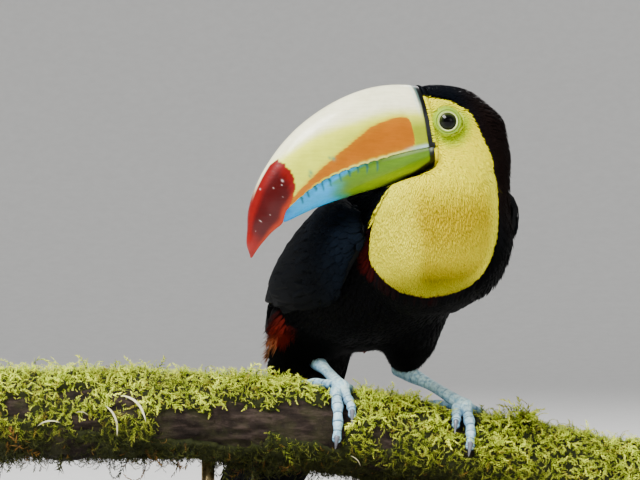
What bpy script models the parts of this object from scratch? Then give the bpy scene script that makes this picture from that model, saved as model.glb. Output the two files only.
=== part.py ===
"""A life-size keel-billed toucan that grips a cut, mossy branch on a display stand.

Metres, +Z up. The origin is the middle of the stand base's underside. The bird's breast is turned
towards -Y and +X, its head looks along -X, and the branch runs along X.
"""

import math

import bmesh
import bpy
from mathutils import Matrix, Vector

GAP = 0.0003  # air kept between pieces that touch

# The bird's own axes. A heading is measured from -Y round towards +X, a pitch upwards.
TRUNK_MIDDLE = Vector((0.022, 0.000, 0.198))
TRUNK_HEADING, TRUNK_PITCH = 42, 26
TRUNK_HALF_LENGTH, TRUNK_HALF_WIDTH, TRUNK_HALF_DEPTH = 0.082, 0.050, 0.045

HEAD_MIDDLE = Vector((0.0645, -0.040, 0.2785))
HEAD_HEADING, HEAD_PITCH = -78, -15

TAIL_ROOT = Vector((-0.010, 0.034, 0.166))
TAIL_HEADING, TAIL_PITCH = 35, 50
TAIL_LENGTH = 0.160

# The bill, along the line where its two halves meet.
BILL_BASE_X, BILL_BASE_Z = 0.0225, -0.0054
BILL_LENGTH = 0.129
BILL_LOWER_SHARE = 0.765
BILL_START_SLOPE, BILL_BEND = -4, 44

EYE_PLACE = Vector((0.0110, 0.0160, 0.0066))
EYE_RADIUS = 0.0072

# The branch, and where the feet hold it.
BRANCH_LEFT_END, BRANCH_RIGHT_END = -0.213, 0.183
BRANCH_HIGH, BRANCH_SLOPE, BRANCH_BEND_X, BRANCH_BEND_LENGTH = 0.1080, 0.20, -0.050, 0.035
BARK_RADIUS = 0.0240
MOSS_DEPTH = 0.0060
MOSS_CLEAR = 0.022

# The stand.
BASE_SIZE, BASE_THICKNESS = (0.250, 0.160), 0.012
BASE_CORNER, BASE_EDGE = 0.030, 0.0025
ROD_RADIUS, ROD_PLACES = 0.0040, (-0.085, 0.085)
ROD_IN_BASE, ROD_IN_BRANCH = 0.008, 0.012

# Outlines, as stations along each part. Lengths are metres, angles degrees.
# share of the bill, height of the upper half, its half width, depth of the lower half
BILL_STATIONS = (
    (0.00, 0.0366, 0.0185, 0.0122),
    (0.20, 0.0409, 0.0178, 0.0164),
    (0.45, 0.0368, 0.0150, 0.0153),
    (0.68, 0.0280, 0.0112, 0.0098),
    (0.82, 0.0205, 0.0080, 0.0045),
    (0.92, 0.0112, 0.0047, 0.0025),
    (1.00, 0.0006, 0.0005, 0.0010),
)
# forward, half width, height above the head's axis, depth below it
HEAD_STATIONS = (
    (0.0260, 0.0192, 0.0325, 0.0205),
    (0.0120, 0.0208, 0.0298, 0.0250),
    (0.0000, 0.0222, 0.0262, 0.0280),
    (-0.0110, 0.0216, 0.0195, 0.0280),
    (-0.0190, 0.0185, 0.0105, 0.0260),
    (-0.0255, 0.0110, 0.0010, 0.0200),
)
# middle x, y, z, then half width along X and half depth along Y
NECK_STATIONS = (
    (0.0680, -0.0400, 0.2700, 0.0255, 0.0235),
    (0.0600, -0.0410, 0.2600, 0.0355, 0.0275),
    (0.0545, -0.0430, 0.2500, 0.0400, 0.0320),
    (0.0530, -0.0440, 0.2400, 0.0415, 0.0355),
    (0.0515, -0.0455, 0.2160, 0.0430, 0.0400),
    (0.0495, -0.0420, 0.1980, 0.0405, 0.0400),
    (0.0450, -0.0310, 0.1800, 0.0335, 0.0330),
    (0.0420, -0.0240, 0.1690, 0.0190, 0.0180),
)
# behind the trunk's middle, below its axis, to its right, half width, half depth
RUMP_STATIONS = (
    (0.030, 0.0000, 0.0000, 0.0450, 0.0400),
    (0.055, 0.0020, 0.0020, 0.0400, 0.0295),
    (0.066, 0.0065, 0.0050, 0.0365, 0.0245),
    (0.077, 0.0135, 0.0050, 0.0320, 0.0215),
    (0.088, 0.0215, 0.0015, 0.0300, 0.0180),
    (0.101, 0.0280, 0.0000, 0.0260, 0.0110),
    (0.112, 0.0330, 0.0000, 0.0175, 0.0050),
)
# forward of the trunk's middle, half width and half depth of the body there, lift above its axis,
# where the wing starts and ends round the body from the spine, and how far it stands out
WING_STATIONS = (
    (0.052, 0.0450, 0.0360, 0.000, 68, 90, 0.0030),
    (0.042, 0.0530, 0.0415, 0.000, 53, 101, 0.0066),
    (0.022, 0.0555, 0.0450, 0.000, 34, 112, 0.0066),
    (0.000, 0.0535, 0.0450, 0.000, 22, 119, 0.0062),
    (-0.030, 0.0485, 0.0405, 0.000, 18, 112, 0.0060),
    (-0.058, 0.0395, 0.0335, -0.001, 20, 102, 0.0056),
    (-0.082, 0.0275, 0.0240, -0.003, 26, 94, 0.0050),
    (-0.101, 0.0175, 0.0155, -0.005, 38, 78, 0.0040),
)
# share of the tail, half width, half thickness
TAIL_STATIONS = (
    (0.00, 0.0180, 0.0036),
    (0.15, 0.0240, 0.0034),
    (0.40, 0.0280, 0.0028),
    (0.75, 0.0300, 0.0020),
    (0.92, 0.0270, 0.0015),
    (1.00, 0.0150, 0.0010),
)
# how much further forward each shoulder is held
SHOULDER_REACH = {"left": 0.0225, "right": -0.0120}

# Legs: the middle of the hip, the ankle, and the foot's place along the branch and round it.
LEGS = {
    "right": {
        "hip": Vector((-0.006, 0.010, 0.185)),
        "ankle": Vector((-0.0210, 0.0330, 0.1390)),
        "hip_radius": 0.021,
        "foot_x": -0.0110,
        "foot_round": 22,
    },
    "left": {
        "hip": Vector((0.0365, 0.000, 0.180)),
        "ankle": Vector((0.0335, 0.0230, 0.1325)),
        "hip_radius": 0.025,
        "foot_x": 0.0610,
        "foot_round": 12,
    },
}
THIGH_ZONE, THIGH_START = 1.16, 0.45
ANKLE_RADIUS, SHANK_RADIUS, FOOT_RADIUS = 0.0046, 0.0033, 0.0053
TOE_RADIUS = 0.0036
TOE_SPREAD, TOE_TURN = 0.0026, 7
CLAW_LENGTH, CLAW_RADIUS = 0.0085, 0.0019
# toe: how far it goes along the branch and round it (degrees, front positive), its thickness
TOES = {
    "right": {
        "toe3": (0.0015, 96, 1.00),
        "toe2": (0.0085, 62, 0.92),
        "toe4": (-0.0230, -42, 0.90),
        "toe1": (0.0120, -62, 0.80),
    },
    "left": {
        "toe3": (0.0085, 76, 1.00),
        "toe2": (-0.0020, 50, 0.92),
        "toe4": (0.0210, -50, 0.90),
        "toe1": (-0.0240, -38, 0.80),
    },
}
# what lies between the two front toes and between the two back toes, along the branch
TOE_MIDDLE = {"right": (0.005, -0.005), "left": (0.003, 0.000)}

COLOURS = {
    "black_plumage": ((0.010, 0.011, 0.016), 0.55, 0.0),
    "yellow_plumage": ((0.90, 0.80, 0.08), 0.70, 0.0),
    "upper_bill": ((0.72, 0.88, 0.12), 0.25, 0.0),
    "lower_bill": ((0.28, 0.66, 0.10), 0.25, 0.0),
    "eye": ((0.020, 0.030, 0.030), 0.05, 0.0),
    "blue_legs": ((0.30, 0.62, 0.78), 0.45, 0.0),
    "claw": ((0.22, 0.22, 0.27), 0.35, 0.0),
    "mossy_bark": ((0.22, 0.24, 0.07), 0.85, 0.0),
    "stand_wood": ((0.16, 0.08, 0.04), 0.35, 0.0),
    "stand_metal": ((0.60, 0.48, 0.26), 0.30, 1.0),
}


def clear_scene():
    for obj in list(bpy.data.objects):
        bpy.data.objects.remove(obj)


def material(name):
    found = bpy.data.materials.get(name)
    if found:
        return found
    colour, roughness, metallic = COLOURS[name]
    made = bpy.data.materials.new(name)
    made.use_nodes = True
    shader = made.node_tree.nodes["Principled BSDF"]
    shader.inputs["Base Color"].default_value = (*colour, 1)
    shader.inputs["Roughness"].default_value = roughness
    shader.inputs["Metallic"].default_value = metallic
    return made


def frame_at(origin, heading, pitch):
    """A frame whose X points forward, Y to the bird's left and Z up."""
    h, p = math.radians(heading), math.radians(pitch)
    forward = Vector((math.sin(h) * math.cos(p), -math.cos(h) * math.cos(p), math.sin(p)))
    left = Vector((math.cos(h), math.sin(h), 0))
    frame = Matrix((forward, left, forward.cross(left))).transposed().to_4x4()
    frame.translation = origin
    return frame


def between(stations, place):
    """Smooth values at a place between stations, each (place, value, value, ...)."""
    rows = sorted(stations)
    last = len(rows) - 1
    i = max(0, min(last - 1, sum(r[0] <= place for r in rows) - 1))
    a, b = rows[i], rows[i + 1]
    t = max(0.0, min(1.0, (place - a[0]) / (b[0] - a[0])))
    span = b[0] - a[0]
    found = []
    for k in range(1, len(a)):
        rise = (b[k] - a[k]) / span
        before = rise if i == 0 else (b[k] - rows[i - 1][k]) / (b[0] - rows[i - 1][0])
        after = rise if i == last - 1 else (rows[i + 2][k] - a[k]) / (rows[i + 2][0] - a[0])
        cubic = (
            (2 * t**3 - 3 * t**2 + 1) * a[k]
            + (t**3 - 2 * t**2 + t) * span * before
            + (3 * t**2 - 2 * t**3) * b[k]
            + (t**3 - t**2) * span * after
        )
        found.append(cubic)
    return found


def steps(start, end, count):
    return [start + (end - start) * i / (count - 1) for i in range(count)]


def oval(count, width, up, down, power=2.0):
    """(y, z) round an oval that may be higher above its axis than it is deep below."""
    found = []
    for i in range(count):
        c, s = math.cos(math.tau * i / count), math.sin(math.tau * i / count)
        y = width * math.copysign(abs(c) ** (2 / power), c)
        z = (up if s > 0 else down) * math.copysign(abs(s) ** (2 / power), s)
        found.append((y, z))
    return found


def skin_through(rings):
    """A closed mesh through rings of points, with a fan over each end."""
    made = bmesh.new()
    loops = [[made.verts.new(p) for p in ring] for ring in rings]
    count = len(rings[0])
    for first, second in zip(loops, loops[1:]):
        for i in range(count):
            j = (i + 1) % count
            made.faces.new((first[i], first[j], second[j], second[i]))
    for loop in (loops[0], loops[-1]):
        middle = made.verts.new(sum((v.co for v in loop), Vector()) / count)
        for i in range(count):
            made.faces.new((loop[i], loop[(i + 1) % count], middle))
    bmesh.ops.recalc_face_normals(made, faces=made.faces)
    return made


def object_of(name, made, finish):
    """Turns a bmesh into a named object with its material."""
    bmesh.ops.triangulate(made, faces=made.faces)
    mesh = bpy.data.meshes.new(name)
    made.to_mesh(mesh)
    made.free()
    mesh.materials.append(material(finish))
    obj = bpy.data.objects.new(name, mesh)
    bpy.context.scene.collection.objects.link(obj)
    return obj


def apply_modifiers(obj):
    graph = bpy.context.evaluated_depsgraph_get()
    made = bpy.data.meshes.new_from_object(obj.evaluated_get(graph))
    old = obj.data
    obj.modifiers.clear()
    obj.data = made
    bpy.data.meshes.remove(old)


def grown(obj, by):
    """A helper copy of an object whose surface stands out by this much."""
    made = bmesh.new()
    made.from_mesh(obj.data)
    bmesh.ops.remove_doubles(made, verts=made.verts, dist=1e-6)
    made.normal_update()
    shifts = [v.normal * by for v in made.verts]
    for vert, shift in zip(made.verts, shifts):
        vert.co += shift
    mesh = bpy.data.meshes.new("helper")
    made.to_mesh(mesh)
    made.free()
    helper = bpy.data.objects.new("helper", mesh)
    bpy.context.scene.collection.objects.link(helper)
    return helper


def boolean(obj, helper, operation):
    modifier = obj.modifiers.new("shape", "BOOLEAN")
    modifier.operation = operation
    modifier.object = helper
    modifier.solver = "EXACT"
    bpy.context.view_layer.update()
    apply_modifiers(obj)


def cut_round(obj, others, gap=GAP):
    """Cuts obj back so that it clears each of the others by the gap."""
    for other in others:
        helper = grown(other, gap)
        boolean(obj, helper, "DIFFERENCE")
        bpy.data.objects.remove(helper)
    return obj


def keep_side(obj, point, normal):
    """Cuts obj with a plane, keeps the side that the normal points to, and closes it."""
    made = bmesh.new()
    made.from_mesh(obj.data)
    everything = made.verts[:] + made.edges[:] + made.faces[:]
    bmesh.ops.bisect_plane(made, geom=everything, plane_co=point, plane_no=normal, clear_inner=True)
    rim = [e for e in made.edges if e.is_boundary]
    bmesh.ops.holes_fill(made, edges=rim, sides=0)
    bmesh.ops.triangulate(made, faces=made.faces)
    bmesh.ops.recalc_face_normals(made, faces=made.faces)
    made.to_mesh(obj.data)
    made.free()
    return obj


def copy_of(obj, name):
    made = obj.copy()
    made.data = obj.data.copy()
    made.name = name
    bpy.context.scene.collection.objects.link(made)
    return made


TRUNK = frame_at(TRUNK_MIDDLE, TRUNK_HEADING, TRUNK_PITCH)
HEAD = frame_at(HEAD_MIDDLE, HEAD_HEADING, HEAD_PITCH)
TAIL = frame_at(TAIL_ROOT, TAIL_HEADING, TAIL_PITCH)


# Bill ---------------------------------------------------------------------------------------------


def bill_line(share):
    """The point where the bill's halves meet, at this share of its length, and the slope there."""
    count = 60
    x, z = BILL_BASE_X, BILL_BASE_Z
    slope = math.radians(BILL_START_SLOPE)
    for i in range(count):
        s = share * (i + 0.5) / count
        slope = math.radians(BILL_START_SLOPE + BILL_BEND * s * s * (3 - 2 * s))
        x += math.cos(slope) * share * BILL_LENGTH / count
        z -= math.sin(slope) * share * BILL_LENGTH / count
    return x, z, slope


def bill_ring(share, half):
    """A section of one half of the bill, square to the line between them."""
    x, z, slope = bill_line(share)
    height, width, depth = between(BILL_STATIONS, share)
    ring = []
    count = 13
    if half == "upper":
        for i in range(count):
            a = math.pi * i / (count - 1)
            y = width * math.copysign(abs(math.cos(a)) ** 0.85, math.cos(a))
            over = height * max(0, math.sin(a)) ** 0.92 + GAP / 2
            ring.append((y * (1 + 0.05 * math.sin(2 * a) ** 2), over))
    else:
        depth *= min(1, math.sqrt(max(0.02, 1 - (share / BILL_LOWER_SHARE) ** 6)))
        width *= 0.94 * min(1, math.sqrt(max(0.02, 1 - (share / BILL_LOWER_SHARE) ** 8)))
        for i in range(count):
            a = math.pi * i / (count - 1)
            y = width * math.copysign(abs(math.cos(a)) ** 0.8, math.cos(a))
            ring.append((y, -depth * max(0, math.sin(a)) ** 0.9 - GAP / 2))
    up = Vector((math.sin(slope), 0, math.cos(slope)))
    return [HEAD @ (Vector((x, y, z)) + up * h) for y, h in ring]


def bill(half, name, finish, end):
    shares = [end * (1 - (1 - i / 12) ** 1.4) for i in range(13)]
    return object_of(name, skin_through([bill_ring(s, half) for s in shares]), finish)


# Flesh --------------------------------------------------------------------------------------------


def trunk_egg():
    """The trunk: an egg whose narrow end is the rump."""
    rings = []
    for x in steps(-0.985, 0.985, 17):
        girth = math.sqrt(1 - x * x) * (1 + 0.06 * x)
        section = oval(24, TRUNK_HALF_WIDTH * girth, TRUNK_HALF_DEPTH * girth, TRUNK_HALF_DEPTH * girth)
        rings.append([TRUNK @ Vector((x * TRUNK_HALF_LENGTH, y, z)) for y, z in section])
    return skin_through(rings)


def head_loft():
    rings = []
    for x in steps(HEAD_STATIONS[0][0], HEAD_STATIONS[-1][0], 12):
        width, up, down = between(HEAD_STATIONS, x)
        rings.append([HEAD @ Vector((x, y, z)) for y, z in oval(24, width, up, down, 2.2)])
    return skin_through(rings)


def neck_loft():
    rings = []
    for z in steps(NECK_STATIONS[0][2], NECK_STATIONS[-1][2], 14):
        rows = [(row[2], row[0], row[1], row[3], row[4]) for row in NECK_STATIONS]
        x, y, wide, deep = between(rows, z)
        rings.append([Vector((x + dx, y + dy, z)) for dx, dy in oval(24, wide, deep, deep)])
    return skin_through(rings)


def rump_loft():
    """The rump and the coverts that wrap the root of the tail."""
    rings = []
    for back in steps(RUMP_STATIONS[0][0], RUMP_STATIONS[-1][0], 10):
        below, aside, wide, deep = between(RUMP_STATIONS, back)
        turn = math.radians(TAIL_PITCH - TRUNK_PITCH) * min(1, max(0, (back - 0.03) / 0.05))
        ring = []
        for y, z in oval(24, wide, deep, deep):
            level = z * math.cos(turn) - below
            ring.append(TRUNK @ Vector((-back - z * math.sin(turn), y - aside, level)))
        rings.append(ring)
    return skin_through(rings)


def tapered(start, end, start_radius, end_radius, count=14, rings=8, bulge=0.0):
    """A straight limb, fuller in its middle by bulge."""
    axis = (end - start).normalized()
    turn = axis.to_track_quat("Z", "Y").to_matrix()
    found = []
    for t in steps(0, 1, rings):
        radius = start_radius + (end_radius - start_radius) * t + bulge * math.sin(math.pi * t)
        middle = start.lerp(end, t)
        found.append([middle + turn @ Vector((y, z, 0)) for y, z in oval(count, radius, radius, radius)])
    return skin_through(found)


def whole_flesh():
    """Head, neck, trunk, rump and thighs, run together into one smooth body."""
    shapes = [trunk_egg(), head_loft(), neck_loft(), rump_loft()]
    for leg in LEGS.values():
        end = leg["ankle"] + (leg["hip"] - leg["ankle"]).normalized() * 0.002
        shapes.append(tapered(leg["hip"], end, leg["hip_radius"], 0.0075, bulge=0.004))
    joined = bmesh.new()
    for shape in shapes:
        mesh = bpy.data.meshes.new("shape")
        shape.to_mesh(mesh)
        shape.free()
        joined.from_mesh(mesh)
        bpy.data.meshes.remove(mesh)
    body = object_of("body", joined, "black_plumage")
    remesh = body.modifiers.new("one body", "REMESH")
    remesh.mode = "VOXEL"
    remesh.voxel_size = 0.0018
    soften = body.modifiers.new("soften", "SMOOTH")
    soften.factor = 0.5
    soften.iterations = 14
    fewer = body.modifiers.new("fewer", "DECIMATE")
    fewer.ratio = 0.0155
    bpy.context.view_layer.update()
    apply_modifiers(body)
    return body


# Wings and tail -----------------------------------------------------------------------------------


def wing(side, name):
    """A folded wing: a shell that lies round the trunk's side from shoulder to rump."""
    sign = 1 if side == "left" else -1
    across, sunk = 7, 0.0060
    rings = []
    for x in steps(WING_STATIONS[0][0], WING_STATIONS[-1][0], 12):
        wide, deep, lift, start, end, stand = between(WING_STATIONS, x)
        outer, inner = [], []
        for t in steps(0, 1, across):
            a = math.radians(start + (end - start) * t)
            proud = stand * (0.30 + 0.70 * math.sin(math.pi * t) ** 0.6)
            for level, row in ((proud, outer), (-sunk, inner)):
                y = (wide + level) * math.sin(a)
                z = (deep + level) * math.cos(a) + lift
                forward = x + SHOULDER_REACH[side] * max(0, (x + 0.03) / 0.08)
                row.append(TRUNK @ Vector((forward, sign * y, z)))
        rings.append(outer + inner[::-1])
    return object_of(name, skin_through(rings), "black_plumage")


def tail():
    """The closed tail fan, arched a little across."""
    rings = []
    for share in steps(0, 1, 11):
        wide, thick = between(TAIL_STATIONS, share)
        ring = []
        for y, z in oval(12, wide, thick, thick, 2.6):
            arch = -0.10 * y * y / 0.03
            ring.append(TAIL @ Vector((-share * TAIL_LENGTH, y, z + arch)))
        rings.append(ring)
    return object_of("tail", skin_through(rings), "black_plumage")


# Branch and feet ----------------------------------------------------------------------------------


def branch_axis(x):
    """The middle of the branch at x. It runs level, then bends down to the right."""
    bend = BRANCH_BEND_LENGTH * math.log(1 + math.exp((x - BRANCH_BEND_X) / BRANCH_BEND_LENGTH))
    return Vector((x, 0.003 * math.sin(x / 0.045), BRANCH_HIGH - BRANCH_SLOPE * bend))


def moss_cover(x, a):
    """Depth of moss on the bark, which lies thickest on top and leaves room for the feet."""
    clear = 1.0
    for leg in LEGS.values():
        clear *= 1 - math.exp(-(((x - leg["foot_x"]) / MOSS_CLEAR) ** 4))
    lumps = 0.62 + 0.22 * math.sin(x / 0.011 + 2.0 * math.sin(a)) + 0.16 * math.sin(x / 0.0047 + 3 * a)
    above = 0.55 + 0.45 * math.cos(a - math.radians(20))
    return MOSS_DEPTH * clear * lumps * (0.55 + 0.7 * above)


def on_branch(x, a, height):
    """A point this high over the bark at x and at angle a from the top towards the front."""
    ahead = (branch_axis(x + 0.001) - branch_axis(x - 0.001)).normalized()
    front = Vector((0, -1, 0))
    front = (front - front.dot(ahead) * ahead).normalized()
    up = front.cross(ahead)
    if up.z < 0:
        up = -up
    return branch_axis(x) + (up * math.cos(a) + front * math.sin(a)) * height


def branch():
    rings = []
    for x in steps(BRANCH_LEFT_END, BRANCH_RIGHT_END, 26):
        ring = []
        for i in range(15):
            a = math.tau * i / 15
            ring.append(on_branch(x, a, BARK_RADIUS + moss_cover(x, a)))
        rings.append(ring)
    return object_of("perch_branch", skin_through(rings), "mossy_bark")


def tube(points, radii, sides=6):
    """A tube of changing thickness through a row of points."""
    rings = []
    for i, point in enumerate(points):
        ahead = points[min(i + 1, len(points) - 1)] - points[max(i - 1, 0)]
        turn = ahead.normalized().to_track_quat("Z", "X").to_matrix()
        section = oval(sides, radii[i], radii[i], radii[i])
        rings.append([point + turn @ Vector((y, z, 0)) for y, z in section])
    return skin_through(rings)


def foot_middle(side):
    leg = LEGS[side]
    height = BARK_RADIUS + FOOT_RADIUS + 0.0006
    return on_branch(leg["foot_x"], math.radians(leg["foot_round"]), height)


def shank(side):
    """The bare shank, from the ankle to the pad of the foot."""
    ankle, foot = LEGS[side]["ankle"], foot_middle(side)
    shares = steps(0, 1, 7)
    points = [ankle.lerp(foot, t) + Vector((0, 0, 0.0015 * math.sin(math.pi * t))) for t in shares]
    stations = ((0, ANKLE_RADIUS), (0.15, ANKLE_RADIUS * 0.95), (0.5, SHANK_RADIUS), (0.85, 0.0040), (1, FOOT_RADIUS))
    radii = [between(stations, t)[0] for t in shares]
    beyond = (foot - ankle).normalized()
    points += [foot + beyond * 0.0030, foot + beyond * 0.0048]
    radii += [FOOT_RADIUS * 0.85, FOOT_RADIUS * 0.40]
    return object_of(f"shank_{side}", tube(points, radii, 9), "blue_legs")


def toe_point(side, toe, t, radius, spare=0.0):
    """A point on a toe's middle line: it starts at the foot and hugs the bark."""
    leg = LEGS[side]
    along, round_end, _ = TOES[side][toe]
    start_along = math.copysign(TOE_SPREAD, along - TOE_MIDDLE[side][toe in ("toe1", "toe4")])
    start = leg["foot_round"] + math.copysign(TOE_TURN, round_end)
    x = leg["foot_x"] + start_along + (along - start_along) * (1 - (1 - t) ** 1.6)
    a = math.radians(start + (round_end - start) * t)
    rise = FOOT_RADIUS * (1 - min(1, t / 0.35)) ** 2 * 0.25
    return on_branch(x, a, BARK_RADIUS + radius + 0.0005 + rise + spare)


def toe(side, toe_name):
    """A toe with swellings at its pads."""
    thick = TOES[side][toe_name][2]
    shares = steps(0.04, 1, 9)
    points, radii = [], []
    for t in shares:
        pads = 1 + 0.09 * math.cos(math.tau * 3 * t)
        radius = TOE_RADIUS * thick * (1 - 0.30 * t) * pads
        radii.append(radius)
        points.append(toe_point(side, toe_name, t, TOE_RADIUS * thick * 1.05 * (1 - 0.28 * t)))
    radii[-1] *= 0.7
    return object_of(f"{toe_name}_{side}", tube(points, radii), "blue_legs")


def claw(side, toe_name):
    """A curved claw that leaves the toe's end and bends down to the bark."""
    thick = TOES[side][toe_name][2]
    tip = toe_point(side, toe_name, 1.0, TOE_RADIUS * thick * 0.85)
    before = toe_point(side, toe_name, 0.93, TOE_RADIUS * thick * 0.85)
    out = (tip - branch_axis(tip.x)).normalized()
    ahead = (tip - before).normalized()
    points, radii = [], []
    for t in steps(0, 1, 5):
        bend = math.radians(58) * t
        reach = CLAW_LENGTH * (math.sin(bend) / math.radians(58))
        drop = CLAW_LENGTH * ((1 - math.cos(bend)) / math.radians(58))
        points.append(tip + ahead * (GAP + reach) + out * (0.0012 - drop * 0.55))
        radii.append(CLAW_RADIUS * thick * (1 - 0.88 * t))
    return object_of(f"claw_{toe_name}_{side}", tube(points, radii, 6), "claw")


# Stand --------------------------------------------------------------------------------------------


def stand_base():
    """A flat wooden plate with round corners, a bevelled top edge and two sockets."""
    made = bmesh.new()
    rim = []
    for corner in range(4):
        sx = 1 if corner in (0, 3) else -1
        sy = 1 if corner in (0, 1) else -1
        for t in steps(0, 90, 5):
            a = math.radians(90 * corner + t)
            x = sx * (BASE_SIZE[0] / 2 - BASE_CORNER) + BASE_CORNER * math.cos(a)
            y = sy * (BASE_SIZE[1] / 2 - BASE_CORNER) + BASE_CORNER * math.sin(a)
            rim.append(made.verts.new((x, y, 0)))
    bottom = made.faces.new(rim)
    grown_up = bmesh.ops.extrude_face_region(made, geom=[bottom])
    top = [v for v in grown_up["geom"] if isinstance(v, bmesh.types.BMVert)]
    bmesh.ops.translate(made, vec=(0, 0, BASE_THICKNESS), verts=top)
    edges = [e for e in made.edges if all(v.co.z > BASE_THICKNESS / 2 for v in e.verts)]
    bmesh.ops.bevel(made, geom=edges, offset=BASE_EDGE, segments=2, profile=0.5, affect="EDGES")
    bmesh.ops.recalc_face_normals(made, faces=made.faces)
    return object_of("stand_base", made, "stand_wood")


def rod(name, x):
    bottom = BASE_THICKNESS - ROD_IN_BASE + GAP
    middle = branch_axis(x)
    low = middle.z - BARK_RADIUS
    length = low + ROD_IN_BRANCH - bottom
    made = bmesh.new()
    bmesh.ops.create_cone(
        made, cap_ends=True, segments=14, radius1=ROD_RADIUS, radius2=ROD_RADIUS, depth=length
    )
    bmesh.ops.translate(made, vec=(x, middle.y, bottom + length / 2), verts=made.verts)
    return object_of(name, made, "stand_metal")


# Building -----------------------------------------------------------------------------------------


def body_parts(flesh):
    """Parts the flesh with thin cuts, each a named node."""
    chin = HEAD @ Vector((0.0225, 0, -0.0165))
    nape = HEAD @ Vector((-0.034, 0, -0.012))
    toward_crown = (nape - chin).cross(HEAD.to_3x3() @ Vector((0, 1, 0))).normalized()
    if toward_crown.z < 0:
        toward_crown = -toward_crown
    bill_back = HEAD @ Vector((BILL_BASE_X - GAP, 0, BILL_BASE_Z))
    slope = math.radians(BILL_START_SLOPE)
    back = HEAD.to_3x3() @ -Vector((math.cos(slope), 0, -math.sin(slope)))
    shoulders = TRUNK @ Vector((0.048, 0, 0.020))
    toward_neck = (TRUNK.to_3x3() @ Vector((0.62, 0, 0.78))).normalized()
    loins = TRUNK @ Vector((-0.050, 0, 0))
    forward = TRUNK.to_3x3() @ Vector((1, 0, 0))

    parts = {}
    thigh_zones = {}
    for side, leg in LEGS.items():
        start = leg["hip"].lerp(leg["ankle"], THIGH_START)
        end = leg["ankle"] + (leg["ankle"] - leg["hip"]).normalized() * 0.02
        radius = leg["hip_radius"] * THIGH_ZONE
        zone = tapered(start, end, radius * 0.95, radius * 0.75, count=20)
        thigh_zones[side] = object_of("zone", zone, "black_plumage")
        parts[f"thigh_{side}"] = copy_of(flesh, f"thigh_{side}")
        boolean(parts[f"thigh_{side}"], thigh_zones[side], "INTERSECT")
    cut_round(parts["thigh_left"], [parts["thigh_right"]])
    rest = copy_of(flesh, "rest")
    cut_round(rest, thigh_zones.values())
    for zone in thigh_zones.values():
        bpy.data.objects.remove(zone)

    parts["head"] = keep_side(copy_of(rest, "head"), chin + toward_crown * GAP, toward_crown)
    keep_side(parts["head"], bill_back, back)
    parts["neck"] = keep_side(copy_of(rest, "neck"), chin, -toward_crown)
    keep_side(parts["neck"], shoulders + toward_neck * GAP, toward_neck)
    parts["trunk"] = keep_side(copy_of(rest, "trunk"), shoulders, -toward_neck)
    parts["rump"] = keep_side(copy_of(parts["trunk"], "rump"), loins - forward * GAP, -forward)
    keep_side(parts["trunk"], loins, forward)
    bpy.data.objects.remove(rest)
    return parts


def build():
    clear_scene()
    flesh = whole_flesh()
    upper = bill("upper", "bill_upper", "upper_bill", 1.0)
    lower = bill("lower", "bill_lower", "lower_bill", BILL_LOWER_SHARE)
    parts = body_parts(flesh)

    eyes = {}
    for side, sign in (("left", 1), ("right", -1)):
        ball = bmesh.new()
        bmesh.ops.create_uvsphere(ball, u_segments=12, v_segments=8, radius=EYE_RADIUS)
        place = HEAD @ Vector((EYE_PLACE.x, EYE_PLACE.y * sign, EYE_PLACE.z))
        bmesh.ops.translate(ball, vec=place, verts=ball.verts)
        eyes[side] = object_of(f"eye_{side}", ball, "eye")
    cut_round(parts["head"], [*eyes.values(), upper, lower])
    cut_round(parts["neck"], [lower])

    fan = tail()
    for name in ("rump", "trunk", "thigh_left", "thigh_right"):
        cut_round(parts[name], [fan])
    for side in ("left", "right"):
        folded = wing(side, f"wing_{side}")
        cut_round(folded, [flesh, fan])

    limb = branch()
    for side in LEGS:
        leg = shank(side)
        cut_round(leg, [limb])
        cut_round(parts[f"thigh_{side}"], [leg])
        done = [leg]
        for toe_name in TOES[side]:
            made = cut_round(toe(side, toe_name), [*done, limb])
            done.append(made)
            cut_round(claw(side, toe_name), [made, limb])

    base = stand_base()
    for name, x in zip(("stand_rod_left", "stand_rod_right"), ROD_PLACES):
        post = rod(name, x)
        cut_round(base, [post])
        cut_round(limb, [post])
    bpy.data.objects.remove(flesh)

    for obj in bpy.context.scene.objects:
        obj.data.shade_smooth()
        obj.data.set_sharp_from_angle(angle=math.radians(20 if obj.name.startswith("stand") else 35))


build()
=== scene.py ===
import math

import bmesh
import bpy
import numpy as np
from numpy import clip, cos, sin, where
from mathutils import Matrix, Vector
from mathutils.bvhtree import BVHTree
from mathutils.kdtree import KDTree


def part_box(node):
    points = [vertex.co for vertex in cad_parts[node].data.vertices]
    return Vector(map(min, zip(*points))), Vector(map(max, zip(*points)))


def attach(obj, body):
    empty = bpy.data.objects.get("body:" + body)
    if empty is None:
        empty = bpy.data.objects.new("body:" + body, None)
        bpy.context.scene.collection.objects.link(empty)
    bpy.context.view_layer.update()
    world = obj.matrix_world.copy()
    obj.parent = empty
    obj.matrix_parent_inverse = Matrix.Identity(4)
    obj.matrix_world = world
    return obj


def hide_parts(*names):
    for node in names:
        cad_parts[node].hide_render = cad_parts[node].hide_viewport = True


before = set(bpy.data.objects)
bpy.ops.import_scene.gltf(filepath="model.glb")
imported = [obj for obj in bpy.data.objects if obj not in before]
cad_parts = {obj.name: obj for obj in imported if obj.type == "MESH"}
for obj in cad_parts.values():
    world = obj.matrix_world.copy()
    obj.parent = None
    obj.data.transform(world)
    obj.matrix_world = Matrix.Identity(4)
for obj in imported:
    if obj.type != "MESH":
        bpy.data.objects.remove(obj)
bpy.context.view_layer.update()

# Stand base -----------------------------------------------
# A flat plate of dark stained hardwood with round corners, an eased top edge and a thin felt pad
# under it. It is sawn, routed and waxed. The two rods are let into its top.


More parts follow.
